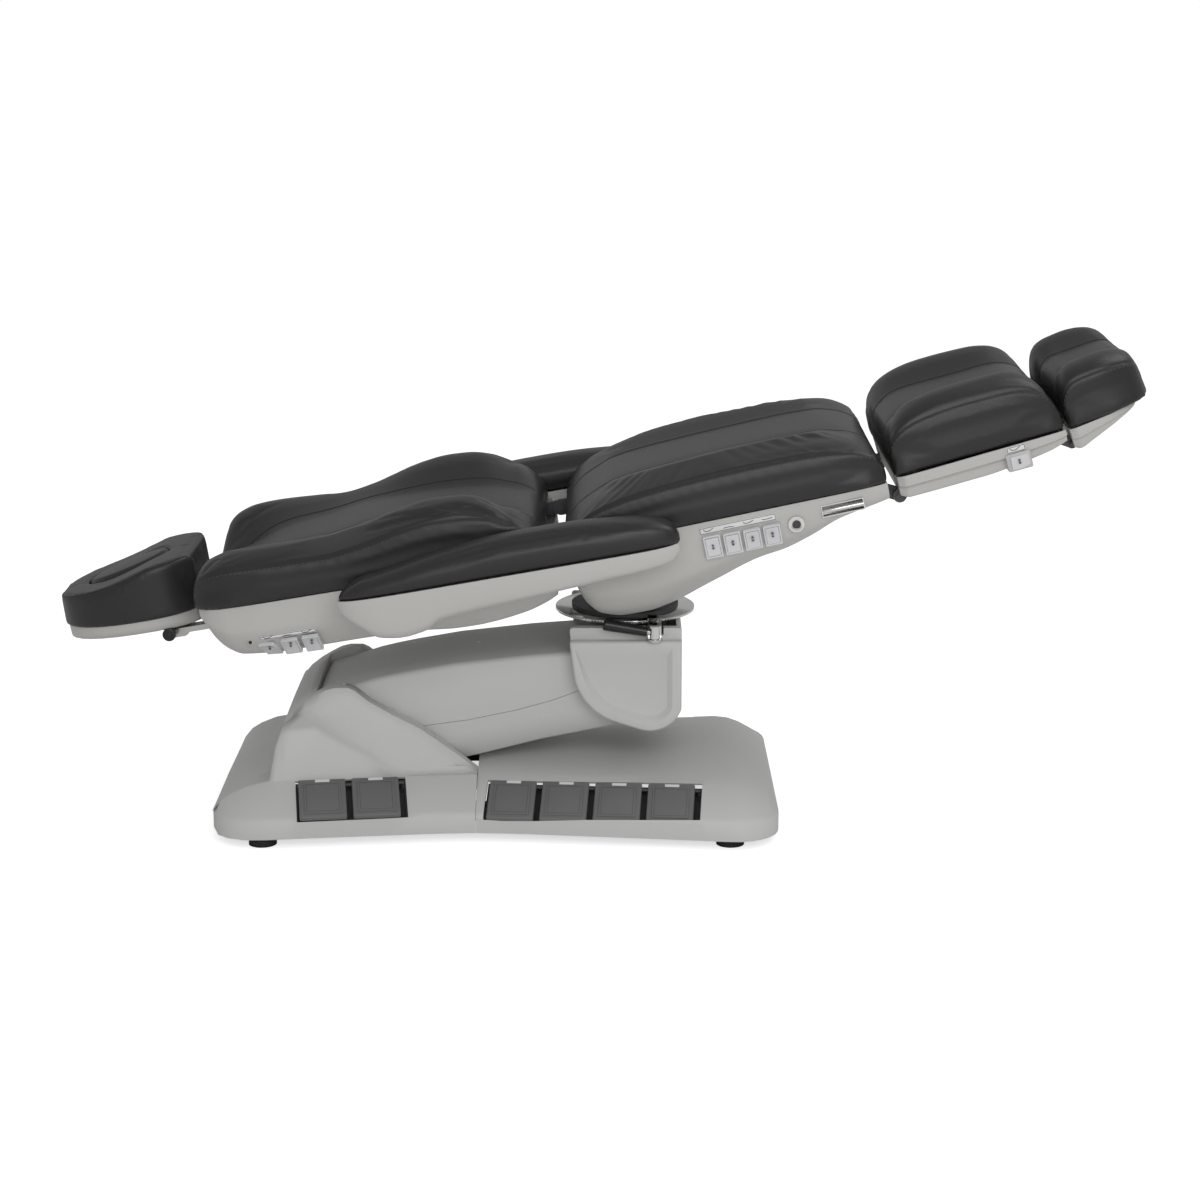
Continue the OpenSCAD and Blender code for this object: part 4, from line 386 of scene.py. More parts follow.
finishes = {
    # spark-textured structural foam covers of the base, low gloss
    "cover_plastic": plastic(
        "mouldedCoverFoam",
        dict(tone="#c3c3c1", toneTo="#c8c8c6", driftSize=300, grainSize=0.9, waveSize=40,
             rough=0.52, roughDrift=0.04, bump=0.10, bumpDepth=0.15),
    ),
    # vacuum formed section shells, a little warmer and glossier
    "shell_plastic": plastic(
        "formedShellSheet",
        dict(tone="#b9b8b4", toneTo="#bfbebb", driftSize=260, grainSize=0.8, waveSize=50,
             rough=0.42, roughDrift=0.04, bump=0.06, bumpDepth=0.12),
    ),
    "tray_plastic": plastic(
        "darkTrayPlastic",
        dict(tone="#3a3a3b", toneTo="#424243", driftSize=60, grainSize=0.8, waveSize=30,
             rough=0.5, roughDrift=0.05, bump=0.12, bumpDepth=0.12),
    ),
    "pedal_rubber": plastic(
        "mouldedPedalRubber",
        dict(tone="#6a6a6b", toneTo="#707071", driftSize=45, grainSize=0.7, waveSize=25,
             rough=0.62, roughDrift=0.05, bump=0.2, bumpDepth=0.15),
    ),
    "switch_plastic": plastic(
        "whiteSwitchPlastic",
        dict(tone="#cfcfd1", toneTo="#d6d6d8", driftSize=30, grainSize=0.6, waveSize=20,
             rough=0.32, roughDrift=0.03, bump=0.04, bumpDepth=0.08, coat=0.1),
    ),
    "foot_rubber": plastic(
        "blackFootRubber",
        dict(tone="#161616", toneTo="#1d1d1d", driftSize=30, grainSize=0.8, waveSize=20,
             rough=0.7, roughDrift=0.05, bump=0.2, bumpDepth=0.15),
    ),
    "grip_plastic": plastic(
        "blackGripPhenolic",
        dict(tone="#121213", toneTo="#19191a", driftSize=30, grainSize=0.8, waveSize=20,
             rough=0.28, roughDrift=0.04, bump=0.03, bumpDepth=0.08),
    ),
    "motor_black": plastic(
        "motorHousingNylon",
        dict(tone="#1d1d1f", toneTo="#262628", driftSize=40, grainSize=0.8, waveSize=30,
             rough=0.5, roughDrift=0.05, bump=0.1, bumpDepth=0.1),
    ),
    # powder coated frame tubes, dark grey
    "frame_steel": plastic(
        "powderCoatedSteel",
        dict(tone="#4b4b4c", toneTo="#555556", driftSize=80, grainSize=0.7, waveSize=30,
             rough=0.5, roughDrift=0.06, bump=0.12, bumpDepth=0.1, metal=0.3),
    ),
    "bright_steel": brushed(
        "zincPlatedSteel",
        dict(tone="#b5b4af", toneTo="#c6c5c1", driftSize=50, grainSize=0.8, stretch=0.2,
             rough=0.3, roughDrift=0.06, bump=0.03, bumpDepth=0.05),
    ),
    "chromed_steel": brushed(
        "chromePlatedSteel",
        dict(tone="#cdcdca", toneTo="#dadad8", driftSize=60, grainSize=0.9, stretch=0.3,
             rough=0.12, roughDrift=0.03, bump=0.01, bumpDepth=0.03),
    ),
    "upholstery": hide(
        "coatedUpholsteryHide",
        dict(
            tone="#1f1e1e", toneTo="#232222", driftSize=120, waveSize=60, waveBump=0.15, waveDepth=1.5,
            cellSize=1.5, poreSize=0.5, bump=0.22, bumpDepth=0.16, rough=0.4, roughDrift=0.05,
            sheen=0.0, shine=0.5,
        ),
    ),
}
threadFinish = plastic(
    "sewingThread",
    dict(tone="#4a4848", toneTo="#565454", driftSize=3, grainSize=0.3, waveSize=2,
         rough=0.7, roughDrift=0.05, bump=0.3, bumpDepth=0.1),
)
# a real seam welt, coloured darker than the hide to paint in the shade of the seam groove
seamWeltWithShadeFinish = plastic(
    "seamWeltPaintedShade",
    dict(tone="#161515", toneTo="#1b1a1a", driftSize=3, grainSize=0.3, waveSize=2,
         rough=0.6, roughDrift=0.05, bump=0.2, bumpDepth=0.1),
)
labelFinish = plastic(
    "printedLabelFilm",
    dict(tone="#dcdcdc", toneTo="#e2e2e2", driftSize=40, grainSize=0.8, waveSize=20,
         rough=0.35, roughDrift=0.03, bump=0.02, bumpDepth=0.05),
)
# grey ink for the real print on the switches; the pedals also use it for painted shade in their grooves
printInkAndGrooveShade = plastic(
    "greyPrintInkAndGrooveShade",
    dict(tone="#4c4e52", toneTo="#565859", driftSize=20, grainSize=0.6, waveSize=10,
         rough=0.5, roughDrift=0.03, bump=0.02, bumpDepth=0.05),
)
print("finishes ready")


bellyProfile = [[1, 0], [1.003, 0.12], [0.995, 0.35], [0.965, 0.56], [0.9, 0.68], [0.74, 0.84], [0.5, 0.96],
                [0, 1]]
stepProfile = [[1, 0], [1.002, 0.42], [0.985, 0.47], [0.955, 0.49], [0.95, 0.86], [0.92, 0.97], [0.85, 1],
               [0, 1]]
backProfile = [[1, 0], [1.003, 0.2], [1, 0.45], [0.985, 0.56], [0.945, 0.72], [0.9, 0.86], [0.85, 0.96],
               [0.8, 0.99], [0.7, 1], [0, 1]]
# each shell's near end, far end, half width, rim height and depth, then shares of them along its length
shellLooks = {
    "seat": dict(
        place=seatFrame, ends=(-47, 522), half=272, rim=66, depth=162, profile=bellyProfile,
        side=[[0, 0.9], [0.06, 0.96], [0.2, 1], [0.8, 1], [0.95, 0.985], [1, 0.955]],
        belly=[[0, 0.6], [0.02, 0.84], [0.06, 0.99], [0.13, 1.06], [0.2, 1.065], [0.27, 1.03], [0.42, 0.87],
               [0.58, 0.7], [0.66, 0.66], [0.75, 0.56], [0.84, 0.42], [0.94, 0.34], [1, 0.3]],
    ),
    "back": dict(
        place=backFrame, ends=(-638, -12), half=272, rim=12, depth=158, profile=backProfile,
        side=[[0, 0.86], [0.03, 0.93], [0.08, 0.98], [0.2, 1], [0.9, 1], [1, 0.94]],
        belly=[[0, 0.2], [0.03, 0.42], [0.06, 0.54], [0.1, 0.62], [0.24, 0.656], [0.4, 0.655], [0.52, 0.66],
               [0.615, 0.68], [0.7, 0.715], [0.76, 0.72], [0.82, 0.705], [0.9, 0.66], [0.97, 0.59],
               [1, 0.54]],
    ),
    "calf": dict(
        place=calfFrame, ends=(0, 304), half=235, rim=45, depth=45, profile=stepProfile,
        side=[[0, 0.97], [0.05, 1], [0.5, 0.965], [0.95, 0.92], [1, 0.9]],
        belly=[[0, 0.84], [0.05, 0.97], [0.5, 0.98], [0.72, 0.86], [0.9, 0.7], [1, 0.52]],
    ),
    "foot": dict(
        place=footFrame, ends=(0, 136), half=196, rim=33, depth=42, profile=stepProfile,
        side=[[0, 0.97], [0.1, 1], [0.5, 0.985], [0.75, 0.93], [0.9, 0.83], [1, 0.62]],
        belly=[[0, 0.9], [0.06, 1], [0.25, 0.84], [0.55, 0.56], [0.85, 0.3], [1, 0.2]],
    ),
    "arm": dict(
        place=armFrame, ends=(-94, 498), half=50, rim=55, depth=82,
        profile=[[1, 0], [1.0, 0.25], [0.97, 0.55], [0.88, 0.8], [0.66, 0.95], [0.35, 1], [0, 1]],
        side=[[0, 0.42], [0.015, 0.6], [0.05, 0.8], [0.12, 0.94], [0.25, 1], [0.8, 1], [0.9, 0.95],
              [0.96, 0.8], [0.985, 0.62], [1, 0.42]],
        belly=[[0, 0.3], [0.02, 0.45], [0.057, 0.68], [0.103, 0.93], [0.171, 1], [0.24, 0.93],
               [0.286, 0.76], [0.4, 0.68], [0.514, 0.63], [0.63, 0.58], [0.8, 0.5], [0.9, 0.46],
               [0.97, 0.38], [1, 0.2]],
    ),
}
shellWall = 3.5


def shellPoint(look, s, v, inset=0.0):
    # bowl surface: v runs from the near rim (0) under the middle (1) to the far rim (2)
    start, end = look["ends"]
    u = (s - start) / (end - start)
    fold = 1 - np.abs(1 - v)
    line = look["line"]
    w = smooth(line[:, [2, 0]], fold) * (look["half"] * smooth(look["side"], u) - inset)
    d = smooth(line[:, [2, 1]], fold) * (look["depth"] * smooth(look["belly"], u) - inset)
    return np.sign(v - 1) * w, look["rim"] - d


def shellSurface(look, count, around):
    # outer and inner bowls joined by a flat rim all round
    line = np.array(look["profile"], float)
    size = np.array([look["half"], look["depth"]])
    length = lengthAlong(line * size)
    look["line"] = np.column_stack([line, length / length[-1]])
    start, end = look["ends"]
    v = np.linspace(0, 2, around)
    grids = []
    for inset in (0.0, shellWall):
        s = start + inset + crowded(count) * (end - start - 2 * inset)
        ss, vv = np.meshgrid(s, v, indexing="ij")
        y, h = shellPoint(look, ss, vv, inset)
        grids.append(inFrame(look["place"], ss, y, h).reshape(-1, 3))
    rows, cols = count + 1, around
    faces = gridFaces(rows, cols)
    # o is where the inner bowl's points start, and last is where a bowl's last row does
    o, last = rows * cols, (rows - 1) * cols
    inner = [[k + o for k in f[::-1]] for f in faces]
    rims = []
    for c in (0, cols - 1):
        starts = range(c, last, cols)
        rims += [[k, k + cols, o + k + cols, o + k] for k in starts]
    ends = [list(range(cols)), [o + k for k in range(cols)][::-1],
            list(range(last, last + cols))[::-1], [o + last + k for k in range(cols)]]
    rims += [[0, cols - 1, o + cols - 1, o], [last, o + last, o + last + cols - 1, last + cols - 1]]
    return np.concatenate(grids), faces + inner + rims + ends


def makeShell(name, node, look, body, cutters, count=90, around=121, shift=0.0):
    # a section's shell with its slots cut, in place of its node
    points, faces = shellSurface(look, count, around)
    points = points + np.array([0, shift * mm, 0])
    shell = rawObject(name, points, faces)
    tidyMesh(shell)
    for cutter in cutters:
        cutAway(shell, cutter)
    edgeRound(shell, 1.0, 2, 50)
    finish(shell, finishes["shell_plastic"], body, 40)
    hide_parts(node)


seatLook, backLook, calfLook, footLook, armLook = shellLooks.values()
makeShell(
    "seatShell", "seat_shell", seatLook, "seat",
    [
        boxCutter(seatFrame, (-11, -96, -162), (85, 96, -30)),
        boxCutter(seatFrame, (-48, -225, 31), (-40, 225, 67)),
        *slotPair(seatFrame, (504, 525), (145, 178), (-10, 67)),
        boxCutter(seatFrame, (400, -290, 31), (476, -250, 53)),
    ],
)
makeShell(
    "backShell", "back_shell", backLook, "back",
    [boxCutter(backFrame, (-19, -225, -19), (-11, 225, 13)), rodCutter(backFrame, *armPivot, 14, -290, 290)],
)
makeShell(
    "calfShell", "calf_shell", calfLook, "calf",
    slotPair(calfFrame, (-1, 44), (145, 186), (-45, 38))
    + slotPair(calfFrame, (276, 308), (137, 153), (-10, 41)),
)
makeShell("footShell", "foot_shell", footLook, "foot", slotPair(footFrame, (0, 26), (137, 166), (-42, 27)))
for side, sign in (("near", -1), ("far", 1)):
    node, shift = f"arm_shell_{side}", sign * armOffset
    makeShell(f"armShell{side.title()}", node, armLook, f"arm_{side}", [], 80, 61, shift)
print("shells formed")


# half of a cushion's cross-section, in shares of its half width, ridge height and seam height
sideProfile = [[0, 0], [0.93, 0], [0.98, 0.012], [0.992, 0.06], [0.98, 0.3], [0.972, 0.5], [0.985, 0.7],
               [0.972, 0.8], [0.91, 0.925], [0.82, 0.985], [0.73, 1]]
dipProfile = [[0.63, 0.84], [0.52, 0.45], [0.43, 0.12], [0.36, -0.06], [0.3, 0.04], [0.15, 0.09], [0, 0.1]]
outline = np.array([[w, a, 0] for w, a in sideProfile] + [[w, a, 1 - a] for w, a in dipProfile])
legDip = [[0, 0.9], [0.12, 0.82], [0.5, 0.76], [0.8, 0.8], [0.94, 0.9], [1, 1]]


def seatSizes(u):
    ridge = [[0, 0.12], [0.008, 0.22], [0.03, 0.39], [0.07, 0.58], [0.136, 0.76], [0.244, 0.89],
             [0.383, 0.96], [0.54, 1], [0.7, 1.01], [0.81, 0.985], [0.9, 0.89], [0.96, 0.71], [0.985, 0.56],
             [1, 0.3]]
    dip = [[0, 1], [0.06, 0.97], [0.2, 0.87], [0.5, 0.84], [0.8, 0.86], [0.95, 0.96], [1, 1]]
    w = 280 * (1 - 0.10 * (1 - rise(np.minimum(u, 1 - u) * 574, 50, 2)))
    a = 98 * smooth(ridge, u)
    return u * 574 - 50, w, a, a * smooth(dip, u)


def backSizes(u):
    ridge = [[0, 0.25], [0.012, 0.55], [0.03, 0.77], [0.065, 0.93], [0.12, 1], [0.196, 0.995],
             [0.307, 0.965], [0.4045, 0.955], [0.4935, 1], [0.929, 1], [0.963, 0.81], [0.982, 0.643],
             [0.9935, 0.452], [1, 0.214]]
    swell = [[0.4045, 0], [0.4935, 0.14], [0.6117, 0.667], [0.712, 0.944], [0.793, 0.89], [0.8625, 0.61],
             [0.929, 0], [1, 0]]
    dip = [[0, 0.22], [0.03, 0.3], [0.08, 0.32], [0.118, 0.38], [0.197, 0.6], [0.254, 0.69], [0.358, 0.76],
           [0.503, 0.9], [0.676, 0.93], [0.83, 0.86], [0.929, 0.72], [0.967, 0.6], [0.985, 0.47], [1, 0.2]]
    run = 626
    w = 280 * (1 - 0.20 * (1 - rise(u * run, 90, 2)) - 0.05 * (1 - rise((1 - u) * run, 90, 2)))
    return u * run - 648, w, 84 * smooth(ridge, u) + 36 * smooth(swell, u), 84 * smooth(dip, u)


def calfSizes(u):
    ridge = [[0, 0.4], [0.01, 0.52], [0.03, 0.66], [0.07, 0.78], [0.13, 0.88], [0.22, 0.95], [0.36, 1],
             [0.5, 1.01], [0.68, 1], [0.8, 0.96], [0.88, 0.87], [0.94, 0.7], [0.975, 0.5], [1, 0.25]]
    w = (470 - 40 * u) / 2 * (1 - 0.05 * (1 - rise(np.minimum(u, 1 - u) * 308, 30, 2)))
    a = 117 * smooth(ridge, u)
    return u * 308 - 4, w, a, a * smooth(legDip, u)


def footSizes(u):
    ridge = [[0, 0.38], [0.02, 0.56], [0.06, 0.75], [0.12, 0.89], [0.2, 0.97], [0.32, 1], [0.5, 1],
             [0.65, 0.98], [0.8, 0.93], [0.9, 0.86], [0.96, 0.77], [0.985, 0.66], [1, 0.45]]
    side = [[0, 0.95], [0.1, 0.99], [0.5, 1], [0.8, 0.95], [0.93, 0.86], [1, 0.7]]
    a = 101 * smooth(ridge, u)
    return u * 155, 200 * smooth(side, u), a, a * smooth(legDip, u)


def restHalf(u):
    tip = np.maximum(1 - (1 - np.minimum(u / 0.62, 1)) ** 2.3, 0) ** (1 / 2.3)
    return 145 * tip * (1 - (0.82 * np.maximum(u - 0.62, 0) / 0.38) ** 2.4) ** (1 / 2.4)


restTop = [[0, 0.5], [0.02, 0.57], [0.1, 0.62], [0.3, 0.69], [0.45, 0.78], [0.6, 0.9], [0.73, 1],
           [0.85, 1.04], [0.97, 1.06], [0.99, 1.04], [1, 0.98]]


def restSizes(u):
    u = 0.008 + 0.992 * u
    a = 94 * smooth(restTop, u)
    return -199 + u * 262, restHalf(u), a, 0 * a


restOutline = np.array([[0, 0, 0], [0.9, 0, 0], [0.985, 0.02, 0], [1, 0.08, 0], [1, 0.88, 0], [0.99, 0.96, 0],
                        [0.955, 0.995, 0], [0.9, 1, 0], [0, 1, 0]])


def armSizes(u):
    top = [[0, 0.1], [0.02, 0.3], [0.06, 0.42], [0.12, 0.5], [0.28, 0.78], [0.42, 0.93], [0.5, 1],
           [0.65, 1], [0.86, 0.87], [0.95, 0.7], [0.985, 0.48], [1, 0.15]]
    t = 61 * smooth(top, u)
    return -91 + u * 593, 50 * smooth(armLook["side"], u), t, t


armOutline = np.array([[0, 0, 0], [0.85, 0, 0], [0.96, 0.1, 0], [1, 0.35, 0], [0.97, 0.66, 0],
                       [0.83, 0.88, 0], [0.55, 0.97, 0], [0, 1, 0]])


def cushionSurface(look, count, around):
    # rings across the cushion: half width, ridge height and seam height change along it
    s, w, a, b = look["sizes"](crowded(count))
    half = alongCurve(look["outline"], around, [[w.max(), 0], [0, a.max()], [0, b.max()]])
    y = w[:, None] * half[None, :, 0]
    h = look["base"] + a[:, None] * half[None, :, 1] + b[:, None] * half[None, :, 2]
    y = np.concatenate([y, -y[:, -2:0:-1]], 1)
    h = np.concatenate([h, h[:, -2:0:-1]], 1)
    ss = np.repeat(s[:, None], y.shape[1], 1)
    return inFrame(look["place"], ss, y + look.get("shift", 0), h), y.shape[1]


def seamLine(look, share, height, side, sampling=400):
    # line on a cushion's side at a share of its half width and of its ridge height
    u = np.linspace(look.get("seamFrom", 0.012), look.get("seamTo", 0.988), sampling)
    s, w, a, b = look["sizes"](u)
    return inFrame(look["place"], s, side * share * w + look.get("shift", 0), look["base"] + height * a)


clothFrames = 20


def vertexRows(mesh, field="co"):
    # a field of the mesh's vertices, one row each
    values = np.empty(len(mesh.vertices) * 3)
    mesh.vertices.foreach_get(field, values)
    return values.reshape(-1, 3)


def addRemesh(piece, voxel):
    remesh = piece.modifiers.new("remesh", "REMESH")
    remesh.mode = "VOXEL"
    remesh.voxel_size = voxel * mm


def subdivide(piece):
    divide = piece.modifiers.new("smoother", "SUBSURF")
    divide.levels = divide.render_levels = 1
    applyModifiers(piece)


def puffUp(piece, voxel, cap, held):
    # blows the cover up a little between its seams: pressure in cloth, no gravity, each point's travel capped
    addRemesh(piece, voxel)
    applyModifiers(piece)
    mesh = piece.data
    before = vertexRows(mesh)
    group = piece.vertex_groups.new(name="held")
    for index in np.nonzero(held(before))[0].tolist():
        group.add([index], 1.0, "REPLACE")
    cloth = piece.modifiers.new("Cloth", "CLOTH")
    settings = cloth.settings
    settings.use_pressure = True
    settings.uniform_pressure_force = 4
    settings.effector_weights.gravity = 0
    settings.vertex_group_mass = "held"
    settings.quality = 5
    cloth.point_cache.frame_start = 1
    cloth.point_cache.frame_end = clothFrames
    scene = bpy.context.scene
    for number in range(1, clothFrames + 1):
        scene.frame_set(number)
    graph = bpy.context.evaluated_depsgraph_get()
    move = vertexRows(piece.evaluated_get(graph).to_mesh()) - before
    far = np.linalg.norm(move, axis=1, keepdims=True)
    move *= np.minimum(1, cap * mm / np.maximum(far, 1e-9))
    piece.modifiers.clear()
    scene.frame_set(1)
    mesh.vertices.foreach_set("co", (before + move).ravel())
    mesh.update()


def pressSeams(piece, lines, width, depth):
    # sinks a soft groove into the cover along each seam
    mesh = piece.data
    points = np.concatenate(lines)
    tree = KDTree(len(points))
    for k, p in enumerate(points):
        tree.insert(p, k)
    tree.balance()
    co, no = vertexRows(mesh), vertexRows(mesh, "normal")
    gap = np.array([tree.find(p)[2] for p in co]) / mm
    co -= no * (depth * mm * np.exp(-((gap / width) ** 2)))[:, None]
    mesh.vertices.foreach_set("co", co.ravel())
    mesh.update()


def stitchRow(name, piece, lines, body, stitch=5.5, pitch=8.5, thick=0.55):
    # short thread loops that lie on the cover along a seam
    graph = bpy.context.evaluated_depsgraph_get()
    cover = BVHTree.FromObject(piece, graph)
    sides, rings = 6, np.array([[-1.0, 0.25], [-0.72, 0.9], [0, 1.0], [0.72, 0.9], [1.0, 0.25]])
    turn = turns(sides)
    points, faces = [], []
    for line in lines:
        run = lengthAlong(line)
        for at in np.arange(pitch * mm, run[-1] - pitch * mm, pitch * mm):
            reach = stitch * mm / 2
            ends = [np.array([np.interp(at + d * reach, run, line[:, k]) for k in range(3)]) for d in (-1, 1)]
            spots = [cover.find_nearest(Vector(e)) for e in ends]
            if any(found[3] is None or found[3] > 0.02 for found in spots):
                continue
            a, b = (np.array(found[0]) + np.array(found[1]) * 0.25 * mm for found in spots)
            along = b - a
            half = np.linalg.norm(along) / 2
            if half < 1e-4:
                continue
            along /= 2 * half
            up = np.array(spots[0][1])
            up -= along * (up @ along)
            up /= np.linalg.norm(up)
            across = np.cross(along, up)
            base = len(points)
            for place, size in rings:
                ring = (a + b) / 2 + along * place * half + thick * mm * size * (
                    np.cos(turn)[:, None] * across + np.sin(turn)[:, None] * up
                )
                points.extend(ring.tolist())
            faces += tubeFaces(len(rings), sides, base)
    tidyMesh(meshPiece(name, points, faces, threadFinish, body), 1e-7)


def topHeight(look, u, share):
    # height of a ridged cushion's top at a share of its half width
    s, w, a, b = look["sizes"](u)
    table = np.array(dipProfile[::-1])
    mix = np.interp(share, table[:, 0], table[:, 1])
    return s, w, look["base"] + b + (a - b) * mix


def panelLines(name, look):
    # seams of the middle panel, or the top edge of the headrest
    if name in ("seatCushion", "calfCushion", "footCushion"):
        u = np.linspace(0.02, 0.985, 260)
        lines = []
        for side in (-1, 1):
            s, w, h = topHeight(look, u, 0.40)
            lines.append(inFrame(look["place"], s, side * 0.40 * w, h))
        return lines
    if name == "backCushion":
        t = np.linspace(-1, 1, 700)
        u = 0.075 + 0.905 * np.abs(t) ** 2.2
        share = 0.45 * np.minimum(1, 1 - (1 - np.minimum(np.abs(t) / 0.42, 1)) ** 2.0) ** 0.5
        s, w, h = topHeight(look, u, share)
        return [inFrame(look["place"], s, np.sign(t) * share * w, h)]
    if name == "restCushion":
        u = np.concatenate([np.linspace(0.985, 0.02, 200), np.linspace(0.02, 0.985, 200)])
        side = np.repeat([-1.0, 1.0], 200)
        s, w, a, b = look["sizes"](u)
        return [inFrame(look["place"], s, side * w * 0.955, look["base"] + a)]
    return []


def seamCord(name, piece, lines, body, radius=0.9):
    # a fine welt let into the cover along each line, coloured darker than the hide as painted shade of the
    # seam groove
    graph = bpy.context.evaluated_depsgraph_get()
    cover = BVHTree.FromObject(piece, graph)
    sides, points, faces = 8, [], []
    for line in lines:
        run = lengthAlong(line)
        at = np.arange(0, run[-1], 3 * mm)
        path = np.column_stack([np.interp(at, run, line[:, k]) for k in range(3)])
        spots = [cover.find_nearest(Vector(q)) for q in path]
        spots = [(np.array(f[0]), np.array(f[1])) for f in spots if f[0] is not None and f[3] < 0.03]
        if len(spots) < 4:
            continue
        middle = np.array([f[0] for f in spots])
        for _ in range(3):
            middle[1:-1] = (middle[:-2] + 2 * middle[1:-1] + middle[2:]) / 4
        up = np.array([f[1] for f in spots])
        along = np.gradient(middle, axis=0)
        along /= np.maximum(np.linalg.norm(along, axis=1, keepdims=True), 1e-9)
        up -= along * (up * along).sum(1, keepdims=True)
        up /= np.maximum(np.linalg.norm(up, axis=1, keepdims=True), 1e-9)
        across = np.cross(along, up)
        base, turn = len(points), turns(sides)[:, None]
        for m, a, n in zip(middle, across, up):
            points.extend((m + radius * mm * (np.cos(turn) * a + np.sin(turn) * n)).tolist())
        faces += tubeFaces(len(middle), sides, base)
    tidyMesh(meshPiece(name, points, faces, seamWeltWithShadeFinish, body), 1e-7)


cushionLooks = {
    "seatCushion": dict(node="seat_cushion", body="seat", place=seatFrame, base=66.3,
                        sizes=seatSizes, outline=outline, voxel=6, cap=5),
    "backCushion": dict(node="back_cushion", body="back", place=backFrame, base=12.3,
                        sizes=backSizes, outline=outline, voxel=6, cap=5),
    "calfCushion": dict(node="calf_cushion", body="calf", place=calfFrame, base=45.3,
                        sizes=calfSizes, outline=outline, voxel=5, cap=4),
    "footCushion": dict(node="foot_cushion", body="foot", place=footFrame, base=33.3,
                        sizes=footSizes, outline=outline, voxel=5, cap=3),
    "restCushion": dict(node="headrest_cushion", body="headrest", place=neckFrame, base=42.3,
                        sizes=restSizes, outline=restOutline, voxel=3, cap=1.5),
    "armPadNear": dict(node="arm_pad_near", body="arm_near", place=armFrame, base=55.3,
                       sizes=armSizes, outline=armOutline, voxel=4, cap=2, shift=-armOffset),
    "armPadFar": dict(node="arm_pad_far", body="arm_far", place=armFrame, base=55.3,
                      sizes=armSizes, outline=armOutline, voxel=4, cap=2, shift=armOffset),
}


plugCentre = -68


def ovalPrism(place, s, length, width, low, high, count=64):
    # upright oval block, to cut the face hole
    turn = turns(count)
    s0, y0 = s + length / 2 * np.cos(turn), width / 2 * np.sin(turn)
    return drum("oval", [inFrame(place, s0, y0, np.full(count, h)) for h in (low, high)], count)


def makeCushion(name, look):
    # a padded cushion: its surface, cloth under pressure, seams and stitches
    points, around = cushionSurface(look, 100, 90)
    piece = rawObject(name, points.reshape(-1, 3), tubeFaces(len(points), around))
    tidyMesh(piece, 1e-6)
    if name == "restCushion":
        cutAway(piece, ovalPrism(neckFrame, plugCentre, 160.4, 112.4, 30, 190))
    sewn = look["outline"] is outline
    seams = [seamLine(look, 0.975, 0.80, side) for side in (-1, 1)] if sewn else []
    base = inFrame(look["place"], 0.0, 0.0, look["base"])
    angle = math.radians(look["place"][2])
    upward = np.array([-math.sin(angle), 0, math.cos(angle)])

    def held(co):
        # the underside and the seams don't move
        under = (co - base) @ upward < 3 * mm
        if not sewn:
            return under
        points = np.concatenate(seams)[::4]
        near = np.zeros(len(co), bool)
        for start in range(0, len(co), 4000):
            block = co[start : start + 4000]
            gap = np.linalg.norm(block[:, None, :] - points[None, :, :], axis=2).min(1)
            near[start : start + 4000] = gap < 5 * mm
        return under | near

    puffUp(piece, look["voxel"], look["cap"], held)
    subdivide(piece)
    if sewn:
        pressSeams(piece, seams, 3.5, 1.2)
    finish(piece, finishes["upholstery"], look["body"])
    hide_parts(look["node"])
    if sewn:
        rows = [seamLine(look, 0.985, 0.73, side) for side in (-1, 1)]
        stitchRow(name + "Stitches", piece, rows, look["body"])
    lines = panelLines(name, look)
    if lines:
        # seam welts, darker than the hide as painted shade of the seam grooves
        seamCord(name + "Seams", piece, lines, look["body"])
    print(name, "sewn")


for cushionName, cushionLook in cushionLooks.items():
    makeCushion(cushionName, cushionLook)


def makePlug():
    # padded oval that fills the face hole: straight wall, rounded shoulder, slightly crowned top
    around = 96
    turn = turns(around)
    top, low, slope = 126, 19.8, math.tan(math.radians(13))
    path = [(0.94, low), (0.985, low + 3), (0.985, top - 16), (0.965, top - 8), (0.92, top - 3),
            (0.84, top - 0.8), (0.6, top), (0.3, top + 0.6)]

    def ring(r, h, angles):
        # a ring of the plug, level at the bottom and tilted with the headrest's top higher up
        lean = min(max((h - low - 3) / (top - 19 - low), 0), 1)
        along = 79 * r * np.cos(angles)
        return inFrame(neckFrame, plugCentre + along, 55 * r * np.sin(angles), h + lean * slope * along)

    points = np.concatenate([ring(r, h, turn) for r, h in path])
    plug = rawObject("facePlug", points, tubeFaces(len(path), around))
    tidyMesh(plug)
    addRemesh(plug, 3)
    subdivide(plug)
    rim = np.concatenate([turn, turn[:1]])
    seam = ring(0.93, top - 3, rim)
    pressSeams(plug, [seam], 2.5, 1.0)
    finish(plug, finishes["upholstery"], "face_plug")
    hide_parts("face_plug")


makePlug()
print("cushions done")


def dress(node, slotName, body, width=0.6, angle=32, segments=2):
    # a merged copy of a CAD solid with softened edges
    source = frame["nodes"][node]
    copy = linked(node + "Dressed", source.data.copy())
    tidyMesh(copy)
    if width:
        edgeRound(copy, width, segments, angle)
    finish(copy, finishes[slotName], body, angle)
    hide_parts(node)


pedalTip = 32
pedalPitch = 95


def pedalPoint(row, x, y, z):
    # a point of a pedal row's own frame, tipped toward the foot that presses it
    tip, turn, side = math.radians(pedalTip), math.radians(row[3]), row[4]
    y, z = y * math.cos(tip) - z * math.sin(tip), y * math.sin(tip) + z * math.cos(tip)
    x, y = x * math.cos(turn) - y * math.sin(turn), x * math.sin(turn) + y * math.cos(turn)
    return ((row[0] + x) * mm, (row[1] + y) * mm * side, (row[2] + z) * mm)


